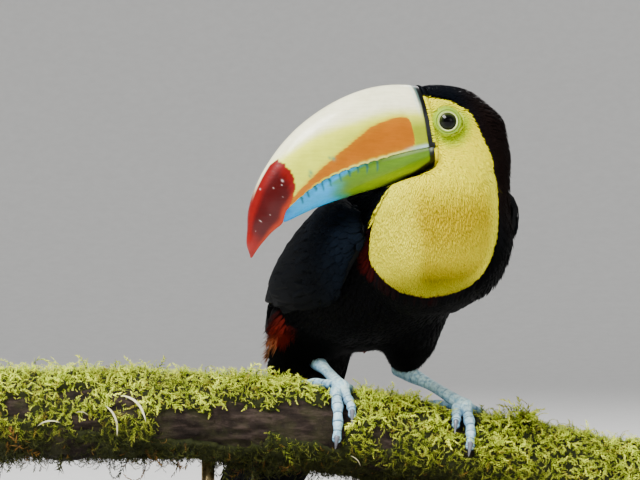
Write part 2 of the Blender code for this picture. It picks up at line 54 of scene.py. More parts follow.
def node(made, kind, settings=(), **inputs):
    """A shader node of this kind. Inputs are numbers, colours or the sockets that feed them."""
    new = made.node_tree.nodes.new(kind)
    for key, value in dict(settings).items():
        setattr(new, key, value)
    for key, value in inputs.items():
        key = key.replace("_", " ")
        socket = new.inputs[int(key[2:])] if key.startswith("in") and key[2:].isdigit() else new.inputs[key]
        if isinstance(value, bpy.types.NodeSocket):
            made.node_tree.links.new(value, socket)
        else:
            socket.default_value = value
    return new


def finish_of(name, roughness=0.5, **sockets):
    """A new material with its shader's own sockets set, and that shader."""
    made = bpy.data.materials.new(name)
    made.use_nodes = True
    shader = made.node_tree.nodes["Principled BSDF"]
    shader.inputs["Roughness"].default_value = roughness
    for key, value in sockets.items():
        shader.inputs[key.replace("_", " ")].default_value = value
    return made, shader


def feed(made, shader, **inputs):
    """Joins sockets to the shader's inputs."""
    for key, socket in inputs.items():
        made.node_tree.links.new(socket, shader.inputs[key.replace("_", " ")])


def object_place(made, scale=(1, 1, 1), turn=(0, 0, 0)):
    """The place on the piece in metres, stretched and turned for a pattern."""
    place = node(made, "ShaderNodeTexCoord").outputs["Object"]
    return node(made, "ShaderNodeMapping", Vector=place, Scale=scale, Rotation=turn).outputs["Vector"]


def noise(made, size, detail, place=None, **more):
    """Soft mottling over a piece: how many blots to the metre, and how finely they are divided."""
    place = object_place(made) if place is None else place
    return node(made, "ShaderNodeTexNoise", Vector=place, Scale=size, Detail=detail, **more).outputs["Fac"]


def painted(made, layer):
    """The colours that are stored on the mesh under this name."""
    return node(made, "ShaderNodeAttribute", {"attribute_name": layer}).outputs["Color"]


def ramp(made, factor, *stops):
    """Colours along a factor, each stop (place, colour)."""
    new = node(made, "ShaderNodeValToRGB", Fac=factor)
    band = new.color_ramp
    while len(band.elements) < len(stops):
        band.elements.new(0.5)
    for element, (place, colour) in zip(band.elements, stops):
        element.position = place
        element.color = (*colour, 1)
    return new.outputs["Color"]


def mixed(made, factor, first, second, blend="MIX"):
    """Two colours mixed by a factor."""
    first, second = (v if isinstance(v, bpy.types.NodeSocket) else (*v, 1) for v in (first, second))
    settings = {"data_type": "RGBA", "blend_type": blend}
    return node(made, "ShaderNodeMix", settings, in0=factor, in6=first, in7=second).outputs[2]


def bumped(made, shader, height, distance, strength=1.0):
    """Relief from a pattern's height, this many metres deep."""
    new = node(made, "ShaderNodeBump", Height=height, Distance=distance, Strength=strength)
    feed(made, shader, Normal=new.outputs["Normal"])


def mesh_of(made, name):
    """The mesh of a bmesh that is finished with."""
    mesh = bpy.data.meshes.new(name)
    made.to_mesh(mesh)
    made.free()
    return mesh


def placed(name, data):
    """A new object in the scene."""
    obj = bpy.data.objects.new(name, data)
    bpy.context.scene.collection.objects.link(obj)
    return obj


def piece(name, mesh, finish, slot, *replaced):
    """A finished piece, from a bmesh or a mesh, that rides on the model and may replace nodes."""
    if isinstance(mesh, bmesh.types.BMesh):
        mesh = mesh_of(mesh, name)
    mesh.materials.append(finish)
    mesh.shade_smooth()
    obj = placed(name, mesh)
    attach(obj, "root")
    if replaced:
        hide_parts(*replaced)


def outward(made):
    """The bmesh with all its faces turned outward."""
    bmesh.ops.recalc_face_normals(made, faces=made.faces)
    return made


WOOD_CORNER, WOOD_EASE = 0.03, 0.0028
FELT_THICK, FELT_INSET, FELT_CORNER, FELT_LAP = 0.0014, 0.006, 0.025, 0.0002


def rounded_plate(low, high, corner, ease):
    """A plate with round corners and, where ease is not 0, an eased top edge."""
    made = bmesh.new()
    bmesh.ops.create_cube(made, size=1)
    size, middle = high - low, (high + low) / 2
    bmesh.ops.scale(made, vec=size, verts=made.verts)
    bmesh.ops.translate(made, vec=middle, verts=made.verts)
    upright = [e for e in made.edges if abs(e.verts[0].co.z - e.verts[1].co.z) > size.z / 2]
    bmesh.ops.bevel(made, geom=upright, offset=corner, segments=12, profile=0.5, affect="EDGES", material=-1)
    if ease:
        top = [e for e in made.edges if all(v.co.z > high.z - 1e-6 for v in e.verts)]
        bmesh.ops.bevel(made, geom=top, offset=ease, segments=5, profile=0.5, affect="EDGES", material=-1)
    return outward(made)


wood, shader = finish_of("stained_wood", 0.34, Coat_Weight=0.35, Coat_Roughness=0.22)
place = object_place(wood, scale=(2.2, 30, 30))
drift = noise(wood, 1.6, 3, place, Distortion=0.6)
rings = node(wood, "ShaderNodeTexWave", {"bands_direction": "Y"}, Vector=place, Scale=0.55, Distortion=5.5,
             Detail=3, Detail_Scale=1.2)
pores = noise(wood, 1, 2, object_place(wood, scale=(30, 900, 900)))
grain = ramp(wood, rings.outputs["Fac"], (0.15, (0.06, 0.024, 0.01)), (0.6, (0.105, 0.045, 0.019)),
             (0.95, (0.15, 0.068, 0.03)))
grain = mixed(wood, drift, grain, (0.05, 0.02, 0.009), "MULTIPLY")
open_pores = ramp(wood, pores, (0.34, (0.35, 0.35, 0.35)), (0.46, (1, 1, 1)))
colour = mixed(wood, 1.0, mixed(wood, 0.55, grain, (0.115, 0.05, 0.022)), open_pores, "MULTIPLY")
feed(wood, shader, Base_Color=colour)
bumped(wood, shader, pores, 0.00012, 0.5)

felt, shader = finish_of("felt", 0.95, Sheen_Weight=0.5)
fuzz = noise(felt, 2200, 3)
feed(felt, shader, Base_Color=ramp(felt, fuzz, (0.3, (0.01, 0.03, 0.018)), (0.7, (0.028, 0.065, 0.04))))
bumped(felt, shader, fuzz, 0.0004)

low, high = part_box("stand_base")
lifted = Vector((low.x, low.y, low.z + FELT_THICK))
plate = rounded_plate(lifted, high, WOOD_CORNER, WOOD_EASE)
piece("stand_base_plate", plate, wood, "stand_wood", "stand_base")
inset = Vector((FELT_INSET, FELT_INSET, 0))
pad_top = Vector((high.x, high.y, low.z + FELT_THICK + FELT_LAP))
pad = rounded_plate(low + inset, pad_top - inset, FELT_CORNER, 0)
piece("stand_felt_pad", pad, felt, "stand_wood")

# Stand rods -----------------------------------------------
# Two short rods of brushed brass rise from the base into the underside of the branch. A turned
# collar hides the hole in the base.

brass, shader = finish_of("brushed_brass", 0.3, Metallic=1.0)
brushing = noise(brass, 1, 2, object_place(brass, scale=(60, 60, 4000)))
feed(brass, shader, Base_Color=ramp(brass, brushing, (0.3, (0.5, 0.37, 0.15)), (0.7, (0.7, 0.54, 0.26))))
bumped(brass, shader, brushing, 0.00006, 0.4)
# height over the collar's foot, and how far the collar stands out from the rod
COLLAR_PROFILE = (
    (0, 0.0052), (0.0008, 0.0056), (0.0018, 0.0054), (0.0026, 0.0034), (0.0034, 0.003), (0.0044, 0.0022),
    (0.0052, 0.0008), (0.0054, 0.0),
)
BASE_TOP = high.z


def turned(profile, centre, steps=40):
    """A closed shape turned round a vertical axis, from (height, radius) pairs."""
    made = bmesh.new()
    points = [made.verts.new((centre.x + r, centre.y, centre.z + h)) for h, r in profile]
    edges = [made.edges.new(pair) for pair in zip(points, points[1:])]
    bmesh.ops.spin(made, geom=points + edges, cent=centre, axis=(0, 0, 1), angle=math.tau, steps=steps,
                   use_merge=True)
    bmesh.ops.remove_doubles(made, verts=made.verts, dist=1e-6)
    return outward(made)


for side in ("left", "right"):
    low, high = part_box(f"stand_rod_{side}")
    radius = (high.x - low.x) / 2
    centre = Vector(((low.x + high.x) / 2, (low.y + high.y) / 2, 0))
    length = high.z - low.z
    rod = turned([(0, 0), (0, radius), (length, radius), (length, 0)], centre + Vector((0, 0, low.z)), 48)
    piece(f"stand_rod_{side}_brass", rod, brass, "stand_metal", f"stand_rod_{side}")
    bore = radius * 0.9
    collar = [(0, bore)] + [(h, radius + r) for h, r in COLLAR_PROFILE]
    collar += [(COLLAR_PROFILE[-1][0], bore), (0, bore)]
    piece(f"stand_collar_{side}", turned(collar, centre + Vector((0, 0, BASE_TOP))), brass, "stand_metal")

# Branch ---------------------------------------------------
# A length of living forest branch, sawn off at both ends. Its bark is grey-brown with a purple
# cast, ridged and knotted, and shows bare at the front; at the ends the pale wood is sawn across.

BRANCH_LEFT, BRANCH_RIGHT = -0.213, 0.183
BRANCH_HIGH, BRANCH_SLOPE, BRANCH_BEND_X, BRANCH_BEND_LENGTH = 0.108, 0.2, -0.05, 0.035
BARK_RADIUS = 0.024
FEET_X, FOOT_CLEAR = (-0.011, 0.061), 0.022
# knots: along the branch, degrees from its top towards the front, height and width
KNOTS = (
    (-0.132, 68, 0.0042, 0.01), (-0.072, 40, 0.003, 0.007), (0.022, 118, 0.0038, 0.009),
    (0.108, 60, 0.0034, 0.008), (-0.17, 150, 0.004, 0.01), (0.06, -120, 0.0046, 0.012),
    (-0.04, -70, 0.0036, 0.009), (0.15, -40, 0.003, 0.008),
)


def unit(v):
    """Vectors brought to a length of 1."""
    return v / np.maximum(np.linalg.norm(v, axis=-1, keepdims=True), 1e-12)


def branch_axis(x):
    """The middle of the branch at x: level on the left, falling to the right."""
    bend = BRANCH_BEND_LENGTH * np.log1p(np.exp((x - BRANCH_BEND_X) / BRANCH_BEND_LENGTH))
    return np.stack([x, 0.003 * sin(x / 0.045), BRANCH_HIGH - BRANCH_SLOPE * bend], -1)


def on_branch(x, a, height):
    """Points this high over the branch's axis, at x and at angle a from its top towards the front."""
    x, a, height = np.broadcast_arrays(*(np.asarray(v, float) for v in (x, a, height)))
    ahead = unit(branch_axis(x + 0.001) - branch_axis(x - 0.001))
    front = np.zeros(x.shape + (3,))
    front[..., 1] = -1
    front = unit(front - (front * ahead).sum(-1, keepdims=True) * ahead)
    up = np.cross(front, ahead)
    up = up * where(up[..., 2:] < 0, -1, 1)
    out = up * cos(a)[..., None] + front * sin(a)[..., None]
    return branch_axis(x) + out * height[..., None]


def feet_clear(x):
    """0 where a foot holds the branch, 1 away from it."""
    found = np.ones_like(x)
    for foot in FEET_X:
        found = found * (1 - np.exp(-(((x - foot) / FOOT_CLEAR) ** 4)))
    return found


def points_of(mesh, kind="co"):
    """The mesh's points, or its normals there, as rows of three."""
    values = np.zeros(len(mesh.vertices) * 3)
    if kind == "co":
        mesh.vertices.foreach_get("co", values)
    else:
        mesh.vertex_normals.foreach_get("vector", values)
    return values.reshape(-1, 3)


def move_points(mesh, points):
    """Moves the mesh's points to these."""
    mesh.vertices.foreach_set("co", points.astype(np.float32).ravel())
    mesh.update()


def closed_form(around, rings, place):
    """A closed mesh of rings between two poles. place(row, a) gives its points and its stored colours,
    with row from 0 at one pole to rings at the other, and a round the ring."""
    made = bmesh.new()
    bmesh.ops.create_uvsphere(made, u_segments=around, v_segments=rings, radius=1)
    mesh = mesh_of(made, "form")
    co = points_of(mesh)
    row = np.round(np.arccos(clip(co[:, 2], -1, 1)) / math.pi * rings)
    a = np.arctan2(co[:, 1], co[:, 0])
    a = where((row == 0) | (row == rings), 0, a)
    points, colours = place(row, a)
    move_points(mesh, points)
    made = bmesh.new()
    made.from_mesh(mesh)
    outward(made).to_mesh(mesh)
    made.free()
    for name, value in colours.items():
        colour_by(mesh, name, value)
    return mesh


def colour_by(mesh, name, colours):
    """Stores a colour for every point of the mesh, for its material to read."""
    layer = mesh.color_attributes.new(name, "FLOAT_COLOR", "POINT")
    full = np.ones((len(mesh.vertices), 4), np.float32)
    full[:, :3] = colours
    layer.data.foreach_set("color", full.ravel())


def fade(low, high, value):
    """0 at low and 1 at high, with soft ends; low may be the larger."""
    t = clip((value - low) / (high - low), 0, 1)
    return t * t * (3 - 2 * t)


BARK_ROUND, BARK_RINGS, END_ROWS = 130, 360, 10


def bark_place(row, a):
    """The bark's points: ridges, cracks, waves and knots, calm under the feet and flat where sawn."""
    inner = BARK_RINGS - 2 * END_ROWS
    share = clip((row - END_ROWS) / inner, 0, 1)
    x = BRANCH_LEFT + (BRANCH_RIGHT - BRANCH_LEFT) * share
    end_row = np.minimum(np.minimum(row, BARK_RINGS - row) / END_ROWS, 1)
    twist = a * 9 + x * 55 + 1.6 * sin(x / 0.017 + a * 2)
    ridges = 0.00075 * np.abs(sin(twist)) ** 1.4
    ridges = ridges + 0.00035 * sin(a * 23 - x * 90 + 2 * sin(x / 0.006))
    cracks = -0.0006 * fade(0.9, 1.0, sin(x / 0.0052 + 2.4 * sin(a * 3) + 0.7 * sin(x / 0.0013)))
    waves = 0.0011 * sin(x / 0.023 + a) + 0.0007 * sin(x / 0.0091 - 2 * a)
    lumps = np.zeros_like(x)
    for knot_x, knot_a, height, wide in KNOTS:
        turn = np.angle(np.exp(1j * (a - math.radians(knot_a))))
        far = np.hypot((x - knot_x), turn * BARK_RADIUS) / wide
        lumps += height * np.exp(-far**2) - 0.45 * height * np.exp(-((far / 0.38) ** 2))
    clear = feet_clear(x)
    height = BARK_RADIUS - 0.0008 + (ridges + cracks) * (0.25 + 0.75 * clear) + (waves + lumps) * clear
    sawn = where((row <= END_ROWS) | (row >= BARK_RINGS - END_ROWS), end_row, 1)
    edge = fade(0, 1.0, (1 - np.abs(2 * share - 1)) * inner / 6)
    height = height * (0.965 + 0.035 * edge) * where(sawn < 1, sawn * 0.985, 1)
    points = on_branch(x, a, height)
    # for the material: red where it is sawn, green on the ridges, blue on the upper side, which sets the
    # painted shade below
    parts = [where(sawn < 1, 1.0, 0.0), clip(ridges * 900, 0, 1), 0.5 + 0.5 * cos(a - 0.5)]
    return points, {"part": np.stack(parts, -1)}


bark, shader = finish_of("bark", 0.88, Specular_IOR_Level=0.12)
parts = node(bark, "ShaderNodeSeparateColor", Color=painted(bark, "part")).outputs
streak = noise(bark, 1.0, 6, object_place(bark, scale=(60, 260, 260)), Roughness=0.62)
patch = noise(bark, 75, 4, Roughness=0.6)
fine = noise(bark, 900, 5, Roughness=0.7)
rind = ramp(bark, streak, (0.3, (0.004, 0.003, 0.0022)), (0.52, (0.02, 0.0135, 0.01)),
            (0.72, (0.07, 0.048, 0.038)))
# painted shade: the bark is darker on its underside
above = ramp(bark, parts["Blue"], (0.1, (0.1, 0.1, 0.08)), (0.75, (1, 1, 1)))
rind = mixed(bark, 1.0, rind, above, "MULTIPLY")
grown = ramp(bark, patch, (0.46, (0, 0, 0)), (0.62, (1, 1, 1)))
rind = mixed(bark, grown, rind, mixed(bark, 0.8, (0.06, 0.065, 0.018), rind))
pale_spots = ramp(bark, fine, (0.62, (0, 0, 0)), (0.7, (0.6, 0.6, 0.6)))
rind = mixed(bark, pale_spots, rind, (0.08, 0.064, 0.054))
years = node(bark, "ShaderNodeTexWave", {"wave_type": "RINGS", "rings_direction": "X"},
             Vector=object_place(bark), Scale=150, Distortion=1.6, Detail=2)
sawn_wood = ramp(bark, years.outputs["Fac"], (0.2, (0.3, 0.19, 0.1)), (0.8, (0.47, 0.33, 0.19)))
feed(bark, shader, Base_Color=mixed(bark, parts["Red"], rind, sawn_wood))
heights = node(bark, "ShaderNodeMath", {"operation": "ADD"}, in0=streak, in1=fine)
bumped(bark, shader, heights.outputs["Value"], 0.0011, 0.9)
piece("branch_bark", closed_form(BARK_ROUND, BARK_RINGS, bark_place), bark, "mossy_bark", "perch_branch")

# Moss -----------------------------------------------------
# Living moss in a loose curly mat, yellow-green at its tips and dark inside; the tips carry painted
# highlights and the dark inside is partly painted shade. It is thick on top and round the ends, hangs
# in wisps below, and leaves the bark bare at the front and under the feet.

PATCH = 0.003  # the size of one small thing's own patch on its unwrap


def shape_arrays(made):
    """A bmesh that is finished with, as an array of points and a list of faces."""
    made.verts.index_update()
    points = np.array([tuple(v.co) for v in made.verts])
    faces = [[v.index for v in f.verts] for f in made.faces]
    made.free()
    return points, faces


def joined(name, shape, places, colours, patches, finish, slot, *replaced):
    """Many copies of one shape as joined meshes of under 200,000 triangles, each copy with its
    colour and with its own small patch on the unwrap."""
    points, faces = shape[:2]
    triangles = sum(len(f) - 2 for f in faces)
    most = 190000 // triangles
    flat = np.array([i for f in faces for i in f])
    starts = np.concatenate([[0], np.cumsum([len(f) for f in faces])[:-1]])
    local = np.stack([points[:, 0] * 0.5, points[:, 1] - 0.5], -1) * PATCH
    for part in range(math.ceil(len(places) / most)):
        chosen = slice(part * most, (part + 1) * most)
        co = places[chosen]
        count = len(co)
        mesh = bpy.data.meshes.new(name)
        mesh.vertices.add(count * len(points))
        mesh.vertices.foreach_set("co", co.astype(np.float32).ravel())
        mesh.loops.add(count * len(flat))
        offsets = np.arange(count)[:, None]
        used = flat[None] + offsets * len(points)
        mesh.loops.foreach_set("vertex_index", used.astype(np.int32).ravel())
        mesh.polygons.add(count * len(faces))
        begun = starts[None] + offsets * len(flat)
        mesh.polygons.foreach_set("loop_start", begun.astype(np.int32).ravel())
        mesh.update(calc_edges=True)
        shades = colours[chosen]
        if shades.ndim == 2:
            shades = np.repeat(shades, len(points), axis=0)
        colour_by(mesh, "tint", shades.reshape(-1, 3))
        own = patches[chosen][:, None, :] + local[flat][None]
        across = np.broadcast_to(points[flat][None, :, :2], own.shape)
        for layer, values in (("OFBake", own), ("vane", across)):
            mesh.uv_layers.new(name=layer).uv.foreach_set("vector", values.astype(np.float32).ravel())
        label = name if len(places) <= most else f"{name}_{part + 1}"
        piece(label, mesh, finish, slot, *(replaced if part == 0 else ()))


def all_over(value, places):
    """This value for each of the places."""
    return np.tile(np.array(value), (len(places), 1))


def scattered(points, spacing, seed):
    """Indices of points so chosen that none is nearer to another than its spacing."""
    tree = KDTree(len(points))
    for i, point in enumerate(points):
        tree.insert(point, i)
    tree.balance()
    free = np.ones(len(points), bool)
    chosen = []
    for i in np.random.default_rng(seed).permutation(len(points)):
        if free[i]:
            chosen.append(i)
            for _, j, _ in tree.find_range(points[i], spacing[i]):
                free[j] = False
    return np.array(chosen)


# where bark shows: x, angle from the top to the front, how far along and round it reaches
BARE_PLACES = (
    (-0.086, 98, 0.028, 24), (-0.064, 88, 0.017, 30), (-0.026, 76, 0.019, 30), (0.166, 106, 0.018, 20),
    (-0.197, 76, 0.008, 15), (-0.163, 56, 0.01, 11), (-0.154, 96, 0.009, 12), (0.016, 82, 0.008, 14),
    (0.03, -110, 0.04, 45), (-0.11, -150, 0.03, 30),
)
# the feet: x, angle round the branch from its top to the front
FOOT_PLACES = {"right": (-0.011, 22), "left": (0.061, 12)}
# where a toe leaves its foot: metres along the branch and degrees round it from the foot's middle
TOE_SPREAD, TOE_TURN = 0.0026, 7
# toe: how far it goes along the branch and round it (degrees, front positive), its thickness
TOES = {
    "right": {"toe3": (0.0015, 96, 1.0), "toe2": (0.0085, 62, 0.92), "toe4": (-0.023, -42, 0.9),
              "toe1": (0.012, -62, 0.8)},
    "left": {"toe3": (0.0085, 76, 1.0), "toe2": (-0.002, 50, 0.92), "toe4": (0.021, -50, 0.9),
             "toe1": (-0.024, -38, 0.8)},
}
# what a pair of toes spreads from: the front pair, then the back pair
TOE_MIDDLE = {"right": (0.005, -0.005), "left": (0.003, 0.0)}


def toe_line(side, toe, t):
    """Where a toe's middle line runs over the branch: x, and angle from the top to the front."""
    foot_x, foot_round = FOOT_PLACES[side]
    along, round_end, _ = TOES[side][toe]
    start_along = math.copysign(TOE_SPREAD, along - TOE_MIDDLE[side][toe in ("toe1", "toe4")])
    start = foot_round + math.copysign(TOE_TURN, round_end)
    x = foot_x + start_along + (along - start_along) * (1 - np.maximum(0, 1 - t) ** 1.6)
    return x, np.radians(start + (round_end - start) * t)


def near_toe(x, a):
    """Metres from the nearest toe's middle line, over the bark."""
    found = np.full(np.shape(x), np.inf)
    for side in TOES:
        for toe in TOES[side]:
            for toe_x, toe_a in zip(*toe_line(side, toe, np.linspace(0, 1.05, 12))):
                found = np.minimum(found, np.hypot(x - toe_x, (a - toe_a) * BARK_RADIUS))
    return found


def moss_share(x, a):
    """How thick the moss stands, from 0 where bark shows to 1."""
    found = 0.8 + 0.2 * cos(a - 0.3)
    found = found + 0.16 * sin(x / 0.0125 + 1.7 * sin(a * 2))
    found = found + 0.12 * sin(x / 0.0052 + 3 * a + 1.3)
    for place, at, wide, turn in BARE_PLACES:
        off = np.angle(np.exp(1j * (a - math.radians(at))))
        ragged = 1 + 0.22 * sin(x / 0.0043 + 5 * a) + 0.15 * sin(x / 0.0021 - 9 * a)
        found = found - 1.3 * np.exp(-(((x - place) / wide) ** 4) - (off / math.radians(turn)) ** 4) * ragged
    return clip(found, 0, 1.15) * fade(0.003, 0.0058, near_toe(x, a))


MAT_RINGS, MAT_ROUND, MAT_END_ROWS = 300, 110, 3
MAT_SHORT = 0.0006  # how far the mat's ends stay back from the branch's
MAT_EDGE = 0.28  # a thinner share of moss leaves the bark bare
# the mat's dark green is partly its own colour and partly painted shade for the gaps between sprigs
MAT_GREEN_AND_SHADE = (0.014, 0.017, 0.002)


def mat_place(row, a):
    """The points of the dark mat that the sprigs stand in; where there is no moss it lies under the bark."""
    share = clip((row - MAT_END_ROWS) / (MAT_RINGS - 2 * MAT_END_ROWS), 0, 1)
    x = BRANCH_LEFT + MAT_SHORT + (BRANCH_RIGHT - BRANCH_LEFT - 2 * MAT_SHORT) * share
    deep = moss_share(x, a)
    lumps = 0.0008 * sin(x / 0.0019 + 4 * sin(a * 5)) * sin(a * 17 + x / 0.003)
    height = BARK_RADIUS + where(deep > MAT_EDGE, -0.0006 + 0.0036 * (deep - 0.2) + lumps, -0.003)
    closing = clip(np.minimum(row, MAT_RINGS - row) / MAT_END_ROWS, 0, 1)
    return on_branch(x, a, height * (0.1 + 0.9 * closing)), {"tint": all_over(MAT_GREEN_AND_SHADE, x)}


def sprig_shape(leaves, seed, curl):
    """A frond of moss: a curled stem with blunt leaves on both sides, each a closed form."""
    draw = np.random.default_rng(seed)
    made = bmesh.new()
    bmesh.ops.create_cone(made, cap_ends=True, segments=3, radius1=1, radius2=0, depth=1)
    bmesh.ops.translate(made, vec=(0, 0, 0.5), verts=made.verts)
    spike, spike_faces = shape_arrays(made)
    points, faces, ages = [], [], []
    steps = np.linspace(0, 1, 60)
    bend = curl * steps**1.3
    stem = np.stack([np.cumsum(sin(bend)), np.zeros(60), np.cumsum(cos(bend))], -1) / 60
    for i in range(leaves + 1):
        up = 0.14 + 0.84 * i / leaves if i else 0.0
        at = stem[int(up * 59)]
        turn = curl * up**1.3
        ahead = np.array((math.sin(turn), 0, math.cos(turn)))
        across = np.array((0, 1.0 if i % 2 else -1.0, 0))
        long, wide = draw.uniform(0.19, 0.3) * (1.15 - 0.7 * up), 0.033
        if i == 0:
            ahead, across, long, wide = stem[24] / np.linalg.norm(stem[24]), np.zeros(3), 0.55, 0.035
        tilt = math.radians(draw.uniform(42, 64) * (1 - 0.7 * up**2))
        over = np.cross(ahead, (0, 1, 0)) * draw.uniform(-0.25, 0.45)
        out = unit(ahead * math.cos(tilt) + across * math.sin(tilt) + over * (i > 0))
        side = unit(np.cross(out, np.cross(ahead, (0, 1, 0))))
        part = spike[:, 0:1] * side * wide + spike[:, 1:2] * np.cross(out, side) * wide * 0.5
        faces += [[v + len(spike) * i for v in f] for f in spike_faces]
        points.append(part + spike[:, 2:3] * out * long + at)
        ages.append(clip(up + 0.45 * spike[:, 2] * (i > 0), 0, 1))
    return np.concatenate(points), faces, np.concatenate(ages)


def moss_places(shape, roots, axes, lengths, droops):
    """Places copies of a sprig: axes are three directions for each root, droops how far tips hang."""
    points = shape[0]
    local = points[None] * lengths[:, None, None]
    found = roots[:, None] + np.einsum("nvk,nkd->nvd", local, axes)
    found[:, :, 2] -= clip(points[None, :, 2], 0, 2) ** 2 * (droops * lengths)[:, None]
    return found


green, shader = finish_of("moss_green", 0.85, Specular_IOR_Level=0.2)
speckle = noise(green, 420, 4, Roughness=0.65)
tone = ramp(green, speckle, (0.3, (0.65, 0.7, 0.6)), (0.48, (1, 1, 1)), (0.72, (1.5, 1.4, 1.0)))
feed(green, shader, Base_Color=mixed(green, 1.0, painted(green, "tint"), tone, "MULTIPLY"))
bumped(green, shader, speckle, 0.0014, 0.9)

piece("moss_mat", closed_form(MAT_ROUND, MAT_RINGS, mat_place), green, "mossy_bark")

SPRIG_TRIES, SPRIG_SPACING, SPRIG_LENGTH = 170000, 0.00136, 0.0068
# each sprig runs from a dark base, partly painted shade, to tips paled past their own colour as painted
# highlights
MOSS_DARK_AND_SHADE, MOSS_MID, MOSS_TIP_AND_HIGHLIGHT = (0.008, 0.014, 0.001), (0.56, 0.8, 0.008), (1.45, 1.55, 0.16)
OLD_MOSS, OLD_SHARE = (0.2, 0.085, 0.012), 0.07
SPIKE_X, SPIKE_WIDE = 0.099, 0.004  # one tuft on top stands taller than the rest
draw = np.random.default_rng(5)
x = draw.uniform(BRANCH_LEFT + 0.001, BRANCH_RIGHT - 0.001, SPRIG_TRIES)
a = draw.uniform(-math.pi, math.pi, SPRIG_TRIES)
deep = moss_share(x, a)
keep = draw.random(SPRIG_TRIES) < clip((deep - 0.22) * 1.6, 0, 1)
x, a, deep = x[keep], a[keep], deep[keep]
roots = on_branch(x, a, BARK_RADIUS - 0.001 + 0.0028 * clip(deep - 0.2, 0, 1))
kept = scattered(roots, np.full(len(roots), SPRIG_SPACING), 6)
x, a, deep, roots = x[kept], a[kept], deep[kept], roots[kept]
out = unit(roots - branch_axis(x))
sag = np.stack([0 * x, 0 * x, -0.25 - 0.55 * (out[:, 2] < 0)], -1) * 0.6
lean = unit(out + draw.normal(0, 0.42, out.shape) + sag)
first = unit(np.cross(lean, draw.normal(0, 1, out.shape)))
axes = np.stack([first, np.cross(lean, first), lean], 1)
lengths = draw.gamma(9, 1 / 9, len(x)) * SPRIG_LENGTH * (0.4 + 0.7 * deep)
hang = (out[:, 2] < -0.4) & (draw.random(len(x)) < 0.07)
lengths = where(hang, lengths * draw.uniform(1.5, 2.4, len(x)), lengths)
droops = where(hang, 0.5, 0.12)
age = draw.random(len(x))
# painted light: each sprig is brighter or darker at random and in slow patches, and sprigs that face down are
# darkened almost to black as painted shade
light = draw.uniform(0.6, 1.3, len(x)) * (0.04 + 0.96 * fade(-0.58, 0.45, out[:, 2]))
light = light * (0.85 + 0.3 * sin(x / 0.011 + 2 * sin(a * 3)) * sin(a * 2.3 + x / 0.017))
lengths = lengths * (1 + np.exp(-(((x - SPIKE_X) / SPIKE_WIDE) ** 2)) * (out[:, 2] > 0.9))
kinds = [sprig_shape(11, seed, curl) for seed, curl in ((1, 1.6), (2, 2.6), (3, 3.7))]
pick = draw.integers(0, 3, len(x))
along = (x - BRANCH_LEFT) / (BRANCH_RIGHT - BRANCH_LEFT)
unwrap = np.stack([0.01 + 0.98 * (a / math.tau + 0.5), 0.01 + 0.98 * along], -1)
for k, shape in enumerate(kinds):
    i = np.nonzero(pick == k)[0]
    up = shape[2]
    stages = [np.interp(up, (0, 0.45, 1.0), channel) for channel in zip(MOSS_DARK_AND_SHADE, MOSS_MID, MOSS_TIP_AND_HIGHLIGHT)]
    shades = np.stack(stages, -1)[None] * light[i][:, None, None]
    browned = shades * 0.35 + np.array(OLD_MOSS) * up[None, :, None]
    shades = where((age[i] > 1 - OLD_SHARE)[:, None, None], browned, shades)
    places = moss_places(shape, roots[i], axes[i], lengths[i], droops[i])
    joined(f"moss_sprigs_{'abc'[k]}", shape, places, shades, unwrap[i], green, "mossy_bark")

# a few dead blades caught in the moss: x, angle round the branch, length, turn across it
BLADES = ((-0.135, 62, 0.023, 2.36), (-0.144, 74, 0.02, 2.0), (-0.184, 100, 0.014, 3.35),
          (-0.161, 84, 0.008, 3.0), (0.0, 112, 0.009, 2.3), (0.072, 118, 0.008, 2.6))
BLADE_STRAW, BLADE_SHADES = (0.8, 0.74, 0.42), (1.0, 0.7, 0.8, 0.5, 0.6, 0.5)
BLADE_HALF, BLADE_BOW, BLADE_ARCH, BLADE_THICK = 0.032, 0.16, 0.1, 0.022
made = bmesh.new()
bmesh.ops.create_grid(made, x_segments=2, y_segments=8, size=1)
for v in made.verts:
    bulge = 1 - v.co.y**2
    v.co = (v.co.x * BLADE_HALF * bulge**0.5 + BLADE_BOW * bulge, BLADE_ARCH * bulge, (v.co.y + 1) / 2)
copied = bmesh.ops.duplicate(made, geom=made.verts[:] + made.edges[:] + made.faces[:])
for old, new in [(v, copied["vert_map"][v]) for v in made.verts if v in copied["vert_map"]]:
    in_middle = abs(old.co.x - BLADE_BOW * (1 - (2 * old.co.z - 1) ** 2)) < 1e-5
    new.co.y += BLADE_THICK * in_middle * (0.02 < old.co.z < 0.98)
bmesh.ops.reverse_faces(made, faces=[f for f in copied["geom"] if isinstance(f, bmesh.types.BMFace)])
bmesh.ops.remove_doubles(made, verts=made.verts, dist=1e-4)
blade = shape_arrays(outward(made))
blades = np.array(BLADES)
roots = on_branch(blades[:, 0], np.radians(blades[:, 1]), BARK_RADIUS + 0.005)
out = unit(roots - branch_axis(blades[:, 0]))
level = unit(np.cross(out, (0, 0, 1)) + 1e-6)
ahead = level * cos(blades[:, 3])[:, None] + np.cross(out, level) * sin(blades[:, 3])[:, None]
axes = np.stack([np.cross(out, ahead), out, ahead], 1)
straw, shader = finish_of("dead_blades", 0.6)
feed(straw, shader, Base_Color=painted(straw, "tint"))
places = moss_places(blade, roots, axes, blades[:, 2], np.full(len(blades), 0.05))
shades = np.array(BLADE_STRAW) * np.array(BLADE_SHADES)[:, None]
joined("dead_blades", blade, places, shades, all_over((0.5, 0.5), blades), straw, "mossy_bark")

# Skin -----------------------------------------------------
# The bird's skin from crown to ankles, one closed hide with no seam. It lies under the plumage by
# the feathers' depth and is tinted like them, so that nothing pale shows where they part.


